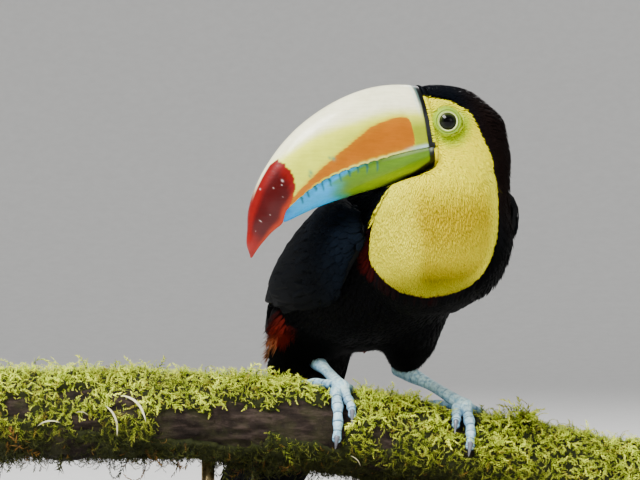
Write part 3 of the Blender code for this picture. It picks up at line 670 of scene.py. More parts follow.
def frame_at(origin, heading, pitch):
    """A frame whose X points forward, Y to the bird's left and Z up."""
    h, p = math.radians(heading), math.radians(pitch)
    forward = Vector((math.sin(h) * math.cos(p), -math.cos(h) * math.cos(p), math.sin(p)))
    left = Vector((math.cos(h), math.sin(h), 0))
    made = Matrix((forward, left, forward.cross(left))).transposed().to_4x4()
    made.translation = origin
    return made


TRUNK = frame_at(Vector((0.022, 0.0, 0.198)), 42, 26)
HEAD = frame_at(Vector((0.0645, -0.04, 0.2785)), -78, -15)
TAIL = frame_at(Vector((-0.01, 0.034, 0.166)), 35, 50)


def into(part, points):
    """Points in the model seen from one of the bird's frames."""
    turn = np.array(part.to_3x3())
    return (points - np.array(part.translation)) @ turn


def out_of(part, points):
    """Points of one of the bird's frames seen from the model."""
    turn = np.array(part.to_3x3())
    return points @ turn.T + np.array(part.translation)


FLESH = ("head", "neck", "trunk", "rump", "thigh_left", "thigh_right")
SKIN_GRAIN, SKIN_SMOOTHING, SKIN_DEPTH = 0.0015, 26, 0.0022
GROWN = 0.0007  # closes the thin cuts between the solids before they are run together
# the loose feathers between the neck and the right wing fill the hollow there
HOLLOW, HOLLOW_REACH, HOLLOW_FILL = (0.003, -0.014, 0.24), 0.018, 0.0052


def merged_copy(*nodes, grow=0.0):
    """One bmesh of copies of CAD nodes, their doubles merged, their faces moved out by grow."""
    whole = bmesh.new()
    for name in nodes:
        one = bmesh.new()
        one.from_mesh(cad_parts[name].data)
        bmesh.ops.remove_doubles(one, verts=one.verts, dist=1e-5)
        one.normal_update()
        for vert, shift in [(v, v.normal * grow) for v in one.verts]:
            vert.co += shift
        mesh = mesh_of(one, "part")
        whole.from_mesh(mesh)
        bpy.data.meshes.remove(mesh)
    return whole


def run_together(made, grain, smoothing):
    """The outer shape of a bmesh as one even, softened mesh."""
    helper = placed("whole", mesh_of(made, "whole"))
    remesh = helper.modifiers.new("one", "REMESH")
    remesh.mode = "VOXEL"
    remesh.voxel_size = grain
    soften = helper.modifiers.new("soft", "SMOOTH")
    soften.factor, soften.iterations = 0.5, smoothing
    bpy.context.view_layer.update()
    found = bpy.data.meshes.new_from_object(helper.evaluated_get(bpy.context.evaluated_depsgraph_get()))
    bpy.data.objects.remove(helper)
    return found


def surface_of(mesh):
    """A mesh to search: its tree, its faces and its points' normals."""
    faces = [tuple(p.vertices) for p in mesh.polygons]
    tree = BVHTree.FromPolygons([tuple(v) for v in points_of(mesh)], faces)
    return tree, faces, unit(points_of(mesh, "normal"))


def on_surface(surface, points):
    """The nearest places on a surface, with its smooth normals there."""
    tree, faces, normals = surface
    places, found = np.empty_like(points), np.empty_like(points)
    for i, point in enumerate(points):
        place, _, face, _ = tree.find_nearest(point)
        places[i] = place
        found[i] = normals[list(faces[face])].mean(0)
    return places, unit(found)


skin_mesh = run_together(merged_copy(*FLESH, grow=GROWN), SKIN_GRAIN, SKIN_SMOOTHING)
# keep only the outer shell: any pocket left inside belongs to another island
made = bmesh.new()
made.from_mesh(skin_mesh)
top = max(made.verts, key=lambda v: v.co.z)
seen, waiting = {top}, [top]
while waiting:
    here = waiting.pop()
    for e in here.link_edges:
        far = e.other_vert(here)
        if far not in seen:
            seen.add(far)
            waiting.append(far)
bmesh.ops.delete(made, geom=[v for v in made.verts if v not in seen], context="VERTS")
made.normal_update()
made.to_mesh(skin_mesh)
made.free()
skin_mesh.update()
skin_outer = points_of(skin_mesh)
filled = HOLLOW_FILL * np.exp(-((skin_outer - HOLLOW) ** 2).sum(1) / HOLLOW_REACH**2)
skin_outer += points_of(skin_mesh, "normal") * filled[:, None]
move_points(skin_mesh, skin_outer)
skin_out = unit(points_of(skin_mesh, "normal"))

# markings: head frame, height against how far forward the yellow of the face ends
FACE_EDGE = (
    (-0.0371, -0.0095), (-0.0286, -0.0109), (-0.0237, -0.0094), (-0.0159, -0.0083), (-0.009, -0.007),
    (-0.0032, -0.0053), (0.0033, -0.0043), (0.0085, -0.0029), (0.0135, 0.0007), (0.019, 0.0066),
    (0.0225, 0.0134), (0.0259, 0.0198), (0.03, 0.029),
)
# neck and breast: height, then the angles from the front where the yellow bib ends, left and right
BIB_EDGE = (
    (0.179, -2, 2), (0.1802, -16, 17), (0.1822, -29, 31), (0.1857, -40, 41), (0.1892, -48.5, 47),
    (0.1932, -58, 51.5), (0.1967, -67, 54), (0.201, -72, 55), (0.209, -75, 56), (0.2171, -77, 58),
    (0.2276, -76, 59), (0.2363, -69, 60), (0.2432, -60, 59.5), (0.248, -60, 56), (0.254, -66, 50),
    (0.264, -180, 42), (0.272, -196, 38),
)
EYE_PLACE = (0.011, 0.016, 0.0066)
NECK_RADIUS, BIB_REACH = 0.038, 0.05
# the middle of the neck: height, x, y
NECK_LINE = (
    (0.169, 0.042, -0.024), (0.18, 0.045, -0.031), (0.198, 0.0495, -0.042), (0.216, 0.0515, -0.0455),
    (0.24, 0.053, -0.044), (0.26, 0.06, -0.041), (0.27, 0.068, -0.04),
)


def past_face(points):
    """Metres inside the yellow of the face, below 0 outside it."""
    f, _, u = into(HEAD, points).T
    heights, edges = np.array(FACE_EDGE).T
    return (f - np.interp(u, heights, edges)) * 0.9


def inside_outline(points, outline):
    """Metres inside a closed outline in a plane, below 0 outside it."""
    far = np.full(len(points), np.inf)
    winding = np.zeros(len(points), bool)
    for a, b in zip(outline, np.roll(outline, -1, 0)):
        along = b - a
        t = clip((points - a) @ along / (along @ along), 0, 1)
        far = np.minimum(far, np.linalg.norm(points - a - t[:, None] * along, axis=1))
        crosses = (a[1] > points[:, 1]) != (b[1] > points[:, 1])
        rise = along[1] if abs(along[1]) > 1e-12 else 1e-12
        winding ^= crosses & (points[:, 0] < a[0] + along[0] * (points[:, 1] - a[1]) / rise)
    return where(winding, far, -far)


def past_bib(points):
    """Metres inside the yellow bib on the neck and breast, below 0 outside it."""
    rows = np.array(NECK_LINE)
    x0, y0 = (np.interp(points[:, 2], rows[:, 0], rows[:, k]) for k in (1, 2))
    a = np.degrees(np.arctan2(points[:, 0] - x0, y0 - points[:, 1]))
    a = where(a > 110, a - 360, a)
    edge = np.array(BIB_EDGE)
    wide = np.radians(1) * NECK_RADIUS
    left, right = edge[:, [1, 0]] * (wide, 1), edge[::-1, [2, 0]] * (wide, 1)
    found = inside_outline(np.stack([a * wide, points[:, 2]], -1), np.concatenate([left, right]))
    return np.minimum(found, BIB_REACH - np.hypot(points[:, 0] - x0, points[:, 1] - y0))


def past_yellow(points):
    """Metres inside all the yellow plumage, below 0 outside it."""
    u = into(HEAD, points)[:, 2]
    share = fade(-0.03, -0.02, u) * fade(0.25, 0.262, points[:, 2])
    return past_face(points) * share + past_bib(points) * (1 - share)


YELLOW, LEMON, PALE_YELLOW_HIGHLIGHT, GOLD_AND_SHADE = (0.47, 0.345, 0), (0.97, 0.86, 0), (1.0, 0.93, 0.03), (0.088, 0.074, 0)
LIME_FACE, BLACK, BLUE_BLACK_SHEEN = (0.36, 0.52, 0), (0.0018, 0.0019, 0.0023), (0.002, 0.004, 0.008)
MAROON, BREAST_RED, VENT_RED = (0.01, 0.0045, 0.0028), (0.042, 0.0022, 0.0014), (0.15, 0.009, 0.004)
COVERT_WHITE = (0.8, 0.79, 0.72)
HIPS = {"right": ((-0.006, 0.01, 0.185), (-0.021, 0.033, 0.139), 0.021),
        "left": ((0.0365, 0.0, 0.18), (0.0335, 0.023, 0.1325), 0.025)}


def on_thigh(points, side, reach=1.25, start=0.42):
    """Whether each point belongs to this side's thigh: within reach, in radii, of its middle line and
    below its start."""
    hip, ankle, radius = HIPS[side]
    hip, leg = np.array(hip), np.array(ankle) - np.array(hip)
    t = (points - hip) @ leg / (leg @ leg)
    far = np.linalg.norm(points - hip - t[:, None] * leg, axis=1)
    return (far < radius * reach) & (t > start)


def on_thighs(points, reach=1.25, start=0.42):
    """Whether each point belongs to either thigh."""
    return on_thigh(points, "left", reach, start) | on_thigh(points, "right", reach, start)


def layered(base, *coats):
    """Colours painted over others in turn. A coat is (colour, share), its share kept from 0 to 1."""
    for colour, share in coats:
        share = clip(share, 0, 1)[:, None]
        base = base * (1 - share) + np.array(colour) * share
    return base


def coat_colour(points):
    """The colour of the coat at points on the body, with painted sheen, painted highlights and painted shade
    in it.
    """
    head, trunk, tail = (into(part, points) for part in (HEAD, TRUNK, TAIL))
    x, z = points[:, 0], points[:, 2]
    inside = past_yellow(points)
    shoulder = fade(-0.02, 0.045, trunk[:, 0]) * fade(0.0, 0.03, trunk[:, 2])
    nape = fade(0.004, -0.012, head[:, 0]) * fade(0.215, 0.245, z) * fade(-0.075, -0.035, head[:, 0])
    low = fade(0.232, 0.2, z) * fade(0.075, 0.045, x)
    vent = fade(-0.052, -0.066, trunk[:, 0]) * fade(0.004, -0.004, tail[:, 2]) * fade(0.147, 0.152, z)
    vent = vent * (~on_thighs(points, 1.15, 0.05) & (x < -0.032) & (trunk[:, 2] < 0))
    above = fade(-0.06, -0.07, trunk[:, 0]) * fade(0.004, 0.008, tail[:, 2])
    # painted sheen: the black turns blue at the shoulder
    dark = layered(
        all_over(BLACK, points),
        (BLUE_BLACK_SHEEN, 0.6 * shoulder),
        (MAROON, 0.75 * nape),
        (BREAST_RED, fade(-0.0038, -0.0014, inside) * low),
        (VENT_RED, vent),
        (COVERT_WHITE, above * fade(0.015, 0.011, np.abs(tail[:, 1]))),
    )
    # painted light on the yellow: the bib's low part is darker gold, partly its own colour and partly painted
    # shade, and the bib's rim, more so higher up, and the top of the face are paled as painted highlights
    wide = 0.013 + 0.012 * fade(0.045, 0.03, x)
    rim = fade(wide, 0.15 * wide, inside) * fade(0.262, 0.25, z)
    ahead, over = head[:, 0] - EYE_PLACE[0], head[:, 2] - EYE_PLACE[2]
    by_eye = fade(0.0165, 0.0085, np.hypot(ahead, over + 0.0015))
    bright = layered(
        all_over(YELLOW, points),
        (GOLD_AND_SHADE, fade(0.206, 0.182, z)),
        (LEMON, fade(0.228, 0.256, z)),
        (PALE_YELLOW_HIGHLIGHT, 0.85 * rim * (0.35 + 0.65 * fade(0.184, 0.2, z))),
        (PALE_YELLOW_HIGHLIGHT, 0.6 * fade(0.016, 0.024, head[:, 2])),
        (LIME_FACE, by_eye * (0.45 + 0.5 * fade(0.004, -0.006, over + 0.4 * ahead))),
    )
    return layered(dark, (bright, fade(-0.0004, 0.0006, inside)))


# the unwrap of the skin: how far down the bird's line from crown to vent, and the angle round it
SPINE = np.array([tuple(HEAD @ Vector((0.02, 0, 0.016))), tuple(HEAD @ Vector((-0.004, 0, -0.004))),
                  (0.065, -0.041, 0.252), (0.053, -0.04, 0.218), (0.042, -0.022, 0.196),
                  tuple(TRUNK @ Vector((0, 0, 0))), tuple(TRUNK @ Vector((-0.05, 0, -0.004))),
                  tuple(TRUNK @ Vector((-0.112, 0, -0.03)))])


def down_line(line, points):
    """How far down a line of points each point lies, 0 to 1, and the angle round it."""
    lengths = np.linalg.norm(np.diff(line, axis=0), axis=1)
    starts = np.concatenate([[0], np.cumsum(lengths)])
    best = np.full(len(points), np.inf)
    share, angle = np.zeros(len(points)), np.zeros(len(points))
    side = np.array((1.0, 0.25, 0.1))
    for i, length in enumerate(lengths):
        ahead = (line[i + 1] - line[i]) / length
        t = clip((points - line[i]) @ ahead, 0, length)
        off = points - line[i] - t[:, None] * ahead
        far = np.linalg.norm(off, axis=1)
        a = side - (side @ ahead) * ahead
        a /= np.linalg.norm(a)
        b = np.cross(ahead, a)
        nearer = far < best
        best = where(nearer, far, best)
        share = where(nearer, (starts[i] + t) / starts[-1], share)
        angle = where(nearer, np.arctan2(off @ b, off @ a), angle)
    return share, angle / math.tau + 0.5


def skin_unwrap(points):
    """Places on the skin's unwrap: the trunk on its left, a thigh in each of its right corners."""
    share, angle = down_line(SPINE, points)
    u, v = 0.01 + 0.76 * angle, 0.01 + 0.98 * share
    for side, low_v in (("left", 0.01), ("right", 0.51)):
        share, angle = down_line(np.array(HIPS[side][:2]), points)
        here = on_thigh(points, side)
        u = where(here, 0.79 + 0.2 * angle, u)
        v = where(here, low_v + 0.48 * clip((share - 0.4) / 0.6, 0, 1), v)
    return np.stack([u, v], -1)


move_points(skin_mesh, skin_outer - skin_out * (GROWN + SKIN_DEPTH))
# the skin takes the coat's colour a little darker, as painted shade where the feathers part
colour_by(skin_mesh, "coat", coat_colour(skin_outer) * 0.9)
skin_surface = surface_of(skin_mesh)

hide, shader = finish_of("hide", 0.8, Specular_IOR_Level=0.1)
feed(hide, shader, Base_Color=painted(hide, "coat"))
bumped(hide, shader, noise(hide, 1400, 3), 0.0005, 0.8)
piece("skin", skin_mesh, hide, "black_plumage", *FLESH)

# Bill -----------------------------------------------------
# A light horn sheath over bone foam, in two halves. The upper one is deep, arched and hooked, with
# blunt teeth along its cutting edge; the lower one fits under it. Its colours lie in the horn,
# which is smooth and waxy, with faint growth lines and a few scratches near the tip. Painted
# highlights lie along the culmen and near the root.

BILL_BASE_X, BILL_BASE_Z = 0.0225, -0.0054
BILL_LENGTH, BILL_LOWER_SHARE, BILL_START_SLOPE, BILL_BEND = 0.129, 0.765, -4, 44
BILL_ROOT, BILL_END = -0.04, 0.985  # the shares of the bill where its upper half starts and ends
LINE_STEPS = 1040
# share of the bill, height of the upper half, its half width, depth of the lower half
BILL_STATIONS = (
    (-0.04, 0.032, 0.0155, 0.009),
    (0.0, 0.0366, 0.0185, 0.0122),
    (0.2, 0.0409, 0.0178, 0.0164),
    (0.45, 0.0368, 0.015, 0.0136),
    (0.68, 0.028, 0.0112, 0.0072),
    (0.82, 0.02, 0.008, 0.0034),
    (0.9, 0.0124, 0.0052, 0.0025),
    (0.95, 0.0068, 0.0034, 0.002),
    (0.985, 0.0006, 0.0005, 0.001),
    (1.0, 0.0006, 0.0005, 0.001),
)


def between(stations, place):
    """Smooth values at places between stations, each (place, value, value, ...)."""
    rows = np.array(sorted(stations))
    at, values = rows[:, 0], rows[:, 1:]
    slopes = np.zeros_like(values)
    slopes[1:-1] = (values[2:] - values[:-2]) / (at[2:] - at[:-2])[:, None]
    slopes[0] = (values[1] - values[0]) / (at[1] - at[0])
    slopes[-1] = (values[-1] - values[-2]) / (at[-1] - at[-2])
    place = np.asarray(place, float)
    i = clip(np.searchsorted(at, place, side="right") - 1, 0, len(at) - 2)
    span = (at[i + 1] - at[i])[..., None]
    t = clip((place - at[i]) / (at[i + 1] - at[i]), 0, 1)[..., None]
    found = (2 * t**3 - 3 * t**2 + 1) * values[i] + (t**3 - 2 * t**2 + t) * span * slopes[i]
    found = found + (3 * t**2 - 2 * t**3) * values[i + 1] + (t**3 - t**2) * span * slopes[i + 1]
    return np.moveaxis(found, -1, 0)


def bill_line(share):
    """The line where the bill's halves meet, in the head's frame, and its slope."""
    shares = np.linspace(BILL_ROOT, 1, LINE_STEPS + 1)
    s = np.maximum(shares, 0)
    slope = np.radians(BILL_START_SLOPE + BILL_BEND * s * s * (3 - 2 * s))
    step = (shares[1] - shares[0]) * BILL_LENGTH
    ways = (cos(slope), -sin(slope))
    x, z = (np.concatenate([[0], np.cumsum((way[1:] + way[:-1]) / 2 * step)]) for way in ways)
    start = round(-BILL_ROOT / (1 - BILL_ROOT) * LINE_STEPS)
    x, z = x - x[start] + BILL_BASE_X, z - z[start] + BILL_BASE_Z
    return np.interp(share, shares, x), np.interp(share, shares, z), np.interp(share, shares, slope)


def hook_hollow(share):
    """How far the cutting edge of the hook is hollowed out."""
    return 0.0022 * sin(math.pi * clip((share - 0.775) / 0.2, 0, 1))


def edge_rise(share):
    """How far the cutting edges bow up towards the hook."""
    return 0.004 * fade(0.22, 0.62, share) * fade(0.8, 0.72, share)


def hook_lift(share):
    """How far the hook's point turns back up."""
    return 0.0018 * fade(0.87, 0.985, share)


UPPER_ROUND, LOWER_ROUND, HALF_GAP = 0.92, 0.9, 0.00015


def bill_point(half, share, a):
    """Points on one half of the bill; a goes from 0, its left cutting edge, over to pi."""
    x, z, slope = bill_line(share)
    height, width, depth = between(BILL_STATIONS, share)
    s, c = np.maximum(sin(a), 0), cos(a)
    if half == "upper":
        y = width * np.sign(c) * np.abs(c) ** 0.85 * (1 + 0.05 * sin(2 * a) ** 2)
        hollow = (hook_hollow(share) + edge_rise(share)) * (1 - s)
        over = height * s**UPPER_ROUND + HALF_GAP + hollow + hook_lift(share)
    else:
        end = clip(share / BILL_LOWER_SHARE, 0, 1)
        depth = depth * np.minimum(1, np.sqrt(np.maximum(0.02, 1 - end**6)))
        width = width * 0.94 * np.minimum(1, np.sqrt(np.maximum(0.02, 1 - end**8)))
        y = width * np.sign(c) * np.abs(c) ** 0.8
        over = -depth * s**LOWER_ROUND - HALF_GAP + edge_rise(share) * (1 - s)
    return np.stack([x + sin(slope) * over, y, z + cos(slope) * over], -1)


def near(value, centre, wide):
    """1 at the centre, falling away over the width."""
    return np.exp(-(((value - centre) / wide) ** 2))


def spots(places, colour, strength, share, h):
    """Coats for small soft marks, each (share of the bill, height, half length, half height)."""
    return [(colour, strength * near(share, at, long) * near(h, height, tall))
            for at, height, long, tall in places]


CREAM_HIGHLIGHT, PALE_LEMON, LIME = (1.0, 0.97, 0.66), (0.88, 0.92, 0.08), (0.4, 0.48, 0.002)
BRIGHT_LIME, EDGE_LIME, SMUDGE_GREEN = (0.27, 0.33, 0), (0.72, 0.76, 0.2), (0.05, 0.26, 0.14)
AMBER, ORANGE, DEEP_ORANGE = (0.62, 0.42, 0), (0.42, 0.128, 0), (0.38, 0.094, 0)
RED_TIP, CRIMSON, EDGE_RED = (0.19, 0.0034, 0.003), (0.043, 0.001, 0.0014), (0.32, 0.022, 0.001)
POINT_RED, SCRATCH_PINK, HORN_BLACK = (0.27, 0.007, 0.003), (0.75, 0.6, 0.58), (0.0025, 0.003, 0.003)
SLATE, ROOT_AQUA, ROOT_HIGHLIGHT = (0.08, 0.13, 0.12), (0.45, 0.66, 0.66), (0.6, 0.78, 0.72)
SKY, DEEP_SKY, TEAL = (0.006, 0.4, 0.88), (0.006, 0.31, 0.86), (0.005, 0.12, 0.12)
LEAF_GREEN, EDGE_GREEN, SEA_GREEN = (0.106, 0.245, 0), (0.45, 0.62, 0.3), (0.02, 0.3, 0.24)
GREY_HIGHLIGHT = (0.46, 0.52, 0.5)
# the orange flash: share of the bill, then its lower and upper edge as shares of the half's height
FLASH = (
    (0.08, 0.2, 0.3), (0.083, 0.13, 0.41), (0.088, 0.08, 0.465), (0.096, 0.055, 0.49),
    (0.106, 0.044, 0.503), (0.122, 0.038, 0.51), (0.151, 0.036, 0.513), (0.211, 0.036, 0.49),
    (0.256, 0.036, 0.466), (0.302, 0.035, 0.412), (0.377, 0.032, 0.318), (0.422, 0.028, 0.274),
    (0.462, 0.024, 0.235), (0.523, 0.018, 0.186), (0.588, 0.012, 0.14), (0.64, 0.006, 0.118),
    (0.7, 0.0, 0.08),
)
# pale scratches and drops on the tip: share of the bill, height, half length, half height
SCRATCHES = (
    (0.655, 0.55, 0.003, 0.03), (0.668, 0.5, 0.0014, 0.016), (0.7, 0.62, 0.0016, 0.018),
    (0.735, 0.9, 0.0022, 0.02), (0.79, 0.4, 0.0012, 0.014), (0.835, 0.55, 0.0014, 0.045),
    (0.7, 0.3, 0.001, 0.012), (0.88, 0.6, 0.0012, 0.02),
)
# dark smudges before the red, given the same way
SMUDGES = ((0.548, 0.249, 0.007, 0.055), (0.56, 0.205, 0.005, 0.04), (0.44, 0.25, 0.008, 0.04),
           (0.452, 0.29, 0.005, 0.03))
# the red tip: height as a share of the half's, then the share of the bill where the red begins
TIP_EDGE = (
    (0.0, 0.712), (0.03, 0.7), (0.125, 0.662), (0.257, 0.628), (0.48, 0.606), (0.6, 0.606), (0.75, 0.606),
    (0.9, 0.612), (0.97, 0.64), (1.0, 0.69),
)
# the pale culmen, partly its own pale colour and partly painted highlight: share of the bill, then the share
# of the half's height where it begins
CULMEN_EDGE = (
    (-0.04, 0.5), (0.05, 0.52), (0.15, 0.56), (0.3, 0.58), (0.45, 0.68), (0.55, 0.76), (0.62, 0.86),
    (0.75, 0.925), (0.9, 0.965), (1.0, 1.0),
)
# the dark marks that rise from the lower half's edge, as shares of the bill
SERRATIONS = (0.268, 0.318, 0.36, 0.402, 0.446, 0.496, 0.532, 0.566, 0.606, 0.64)


def upper_colours(share, a):
    """The upper half's colours, from its ground to the yellow skin at its root, with painted highlights on
    the culmen and near the root.
    """
    h = np.maximum(sin(a), 0) ** UPPER_ROUND
    wave = 0.004 * sin(h * 37 + share * 9) + 0.003 * sin(h * 71)
    edge = np.interp(share, *np.array(CULMEN_EDGE).T)
    at, lows, highs = np.array(FLASH).T
    low, high = np.interp(share, at, lows), np.interp(share, at, highs)
    within = np.minimum(h - low, high - h) + wave
    held = fade(0.079, 0.083, share) * fade(0.71, 0.69, share)
    flash, halo = fade(-0.006, 0.01, within) * held, fade(-0.07, 0.0, within) * held
    into_tip = share - np.interp(h, *np.array(TIP_EDGE).T) + 0.6 * wave
    middle = fade(0.01, 0.055, into_tip) * fade(0.9, 0.7, h) * fade(0.98, 0.86, share)
    # a thin painted highlight along the top of the culmen
    culmen = fade(0.955, 0.985, h) * fade(0.8, 0.68, share)
    rim = 0.026 - 0.012 * h
    return layered(
        all_over(LIME, share),
        (BRIGHT_LIME, 0.85 * fade(0.14, 0.05, share)),
        (PALE_LEMON, fade(0.2, 0.4, share) * 0.55),
        (PALE_LEMON, 0.75 * fade(edge - 0.22, edge + 0.02, h)),
        # the cream over the culmen is partly its own pale colour and partly painted highlight
        (CREAM_HIGHLIGHT, fade(edge - 0.05, edge + 0.16, h + wave) * fade(0.86, 0.58, share)),
        (AMBER, 0.55 * halo),
        (ORANGE, flash),
        (DEEP_ORANGE, flash * fade(0.02, 0.12, within) * 0.5),
        (EDGE_LIME, fade(low, low - 0.03, h) * fade(0.1, 0.14, share)),
        (ROOT_AQUA, near(h, 0.02, 0.03) * fade(0.16, 0.05, share)),
        *spots(SMUDGES, SMUDGE_GREEN, 0.8, share, h),
        (RED_TIP, fade(-0.004, 0.005, into_tip)),
        (EDGE_RED, fade(0.3, 0.05, h) * fade(0, 0.004, into_tip)),
        (CRIMSON, 0.9 * middle * fade(0.04, 0.22, h)),
        (POINT_RED, 0.75 * fade(0.87, 0.96, share)),
        *spots(SCRATCHES, SCRATCH_PINK, 0.75, share, h),
        (CREAM_HIGHLIGHT, culmen * fade(0.6, 0.64, share) * 0.9),
        (SLATE, fade(0.032, 0.024, share) * fade(0.3, 0.8, h)),
        # a painted highlight just in front of the black line at the root
        (ROOT_HIGHLIGHT, 0.7 * near(share, 0.036, 0.005) * fade(0.4, 0.8, h)),
        (HORN_BLACK, fade(rim + 0.003, rim - 0.002, share)),
        (LEMON, fade(-0.006, -0.012, share) * fade(0.8, 0.7, h)),
    )


def strokes(value, places, wide):
    """1 on any of the places, fading over the width."""
    return clip(sum(near(value, p, wide) for p in places), 0, 1)


def lower_colours(share, a):
    """The lower half's colours, from its ground to the yellow skin at its root, with a painted highlight near
    the root.
    """
    h = np.maximum(sin(a), 0) ** LOWER_ROUND
    turn = 0.5 - 0.16 * fade(0.3, 0.0, h) + 0.012 * sin(h * 11)
    reach = 0.3 + 0.16 * sin(share * 60) ** 2
    teeth = strokes(share - 0.03 * h, SERRATIONS, 0.005) * fade(reach, reach - 0.12, h)
    fork = strokes(share + 0.02 * h, [s + 0.004 for s in SERRATIONS[1::2]], 0.004) * fade(0.24, 0.14, h)
    under = fade(0.72, 0.88, h + 0.25 * fade(0.12, 0.0, share)) * fade(0.26, 0.12, share)
    return layered(
        all_over(LEAF_GREEN, share),
        (LIME, 0.5 * fade(0.35, 0.9, h) * fade(0.5, 0.2, share)),
        (SEA_GREEN, 0.8 * near(share, turn - 0.01, 0.035)),
        (SKY, fade(turn - 0.02, turn + 0.045, share)),
        (DEEP_SKY, fade(0.66, 0.75, share) * 0.8),
        (EDGE_GREEN, fade(0.16, 0.05, h) * 0.55 * fade(0.3, 0.12, share)),
        (TEAL, 0.85 * clip(teeth + fork, 0, 1)),
        (HORN_BLACK, under),
        (HORN_BLACK, fade(0.03, 0.022, share)),
        # a painted highlight near the root
        (GREY_HIGHLIGHT, 0.8 * near(share, 0.014, 0.008) * near(h, 0.08, 0.09)),
        (LEMON, fade(-0.006, -0.012, share)),
    )


BILL_ROUND, UPPER_RINGS, LOWER_RINGS = 170, 300, 190
OUTER_PART, ROOT_ROWS = 0.88, 6  # the share of each ring on the outside, and the rows that close the root
TOOTH_DEEP, TOOTH_LONG = 0.00055, 0.0455


def bill_form(half, rings, end, around):
    """A closed half of the bill, its cutting edge toothed, and painted."""
    upper = half == "upper"

    def place(row, a):
        t = clip((row - ROOT_ROWS) / (rings - ROOT_ROWS), 0, 1)
        share = BILL_ROOT + (end - BILL_ROOT) * (1 - (1 - t) ** 1.12)
        q = (a + math.pi) / math.tau
        flat = q > OUTER_PART
        rounded = math.pi * np.minimum(q / OUTER_PART, 1)
        local = bill_point(half, share, rounded)
        x, z, slope = bill_line(share)
        height, _, depth = between(BILL_STATIONS, share)
        sign = 1 if upper else -1
        # the closing face between the cutting edges is slightly hollow
        edge_y = bill_point(half, share, np.zeros_like(a))[..., 1]
        across = -cos(math.pi * clip((q - OUTER_PART) / (1 - OUTER_PART), 0, 1))
        hollow = sign * (HALF_GAP + 0.001 * (1 - across**2))
        hollow = hollow + (hook_hollow(share) + hook_lift(share)) * upper + edge_rise(share)
        closing = np.stack([x + sin(slope) * hollow, across * edge_y, z + cos(slope) * hollow], -1)
        local = where(flat[:, None], closing, local)
        tooth = TOOTH_DEEP * (0.5 + 0.5 * cos((share - SERRATIONS[0]) * math.tau / TOOTH_LONG)) ** 3
        tooth = tooth * fade(0.15, 0.25, share) * fade(0.72, 0.6, share)
        near_cut = where(flat, np.abs(across) ** 8, near(sin(rounded), 0, 0.1))
        shift = -(tooth * near_cut) * (1 if upper else -0.5)
        local[:, 0] += sin(slope) * shift
        local[:, 2] += cos(slope) * shift
        middle = np.stack([x, 0 * x, z + cos(slope) * sign * (height if upper else depth) * 0.4], -1)
        inward = clip(1 - row / ROOT_ROWS, 0, 1)[:, None]
        local = local * (1 - inward) + middle * inward
        colours = (upper_colours if upper else lower_colours)(share, where(flat, 0, rounded))
        return out_of(HEAD, local), {"paint": colours}

    return closed_form(around, rings, place)


def horn_finish(name, roughness):
    """Painted horn, faintly blotched, with fine strands along it."""
    horn, shader = finish_of(name, roughness, Coat_Weight=0.12, Coat_Roughness=0.1, Specular_IOR_Level=0.2)
    strands = noise(horn, 1, 4, object_place(horn, (70, 900, 900), (0, 0.35, 0.2)))
    blotches = noise(horn, 110, 4, Roughness=0.6)
    shade = ramp(horn, blotches, (0.3, (0.86, 0.86, 0.82)), (0.65, (1.0, 1.0, 1.0)))
    lines = ramp(horn, strands, (0.32, (0.9, 0.9, 0.86)), (0.6, (1.0, 1.0, 1.0)))
    colour = mixed(horn, 1.0, painted(horn, "paint"), shade, "MULTIPLY")
    feed(horn, shader, Base_Color=mixed(horn, 1.0, colour, lines, "MULTIPLY"))
    bumped(horn, shader, strands, 0.00025, 0.35)
    return horn


for half, rings, end, roughness in (("upper", UPPER_RINGS, BILL_END, 0.3),
                                    ("lower", LOWER_RINGS, BILL_LOWER_SHARE, 0.32)):
    horn = horn_finish(f"{half}_horn", roughness)
    form = bill_form(half, rings, end, BILL_ROUND)
    piece(f"bill_{half}_horn", form, horn, f"{half}_bill", f"bill_{half}")

# Eyes -----------------------------------------------------
# Glass eyes, dark olive round a black pupil, each set in a ring of bare skin. The lid's rim is a
# cream bead; outside it the bare skin is lime green and finely wrinkled, and runs into the face.

EYE_RADIUS, IRIS, PUPIL = 0.0072, 0.0052, 0.0027
BALL_RINGS, BALL_ROUND = 72, 96
IRIS_DARK, IRIS_OLIVE, IRIS_LIGHT = (0.004, 0.006, 0.003), (0.014, 0.018, 0.005), (0.05, 0.065, 0.014)
PUPIL_BLACK, EYE_EDGE = (0.001, 0.001, 0.001), (0.004, 0.004, 0.003)
EYE_LOOK = (0.1, 1.0, 0.02)  # where each eye points: forward, outward, up
# rings of the lid from the eye outward: distance from the eye's axis, height over the ball's middle
LID_PROFILE = (
    (0.0046, 0.004), (0.005, 0.0053), (0.0053, 0.0058), (0.0057, 0.006), (0.0061, 0.0058),
    (0.0064, 0.0053), (0.0066, 0.0051), (0.0069, 0.0054), (0.0074, 0.0055),
)


def eye_frame(sign):
    """The eye's middle and its own axes: out of the head, forward and up."""
    look = Vector((EYE_LOOK[0], EYE_LOOK[1] * sign, EYE_LOOK[2])).normalized()
    out = HEAD.to_3x3() @ look
    ahead = HEAD.to_3x3() @ Vector((1, 0, 0))
    ahead = (ahead - ahead.dot(out) * out).normalized()
    middle = HEAD @ Vector((EYE_PLACE[0], EYE_PLACE[1] * sign, EYE_PLACE[2]))
    return np.array(middle), np.array(out), np.array(ahead), np.cross(np.array(out), np.array(ahead)) * sign


glass, shader = finish_of("eye_glass", 0.03, Specular_IOR_Level=0.12)
feed(glass, shader, Base_Color=painted(glass, "iris"))

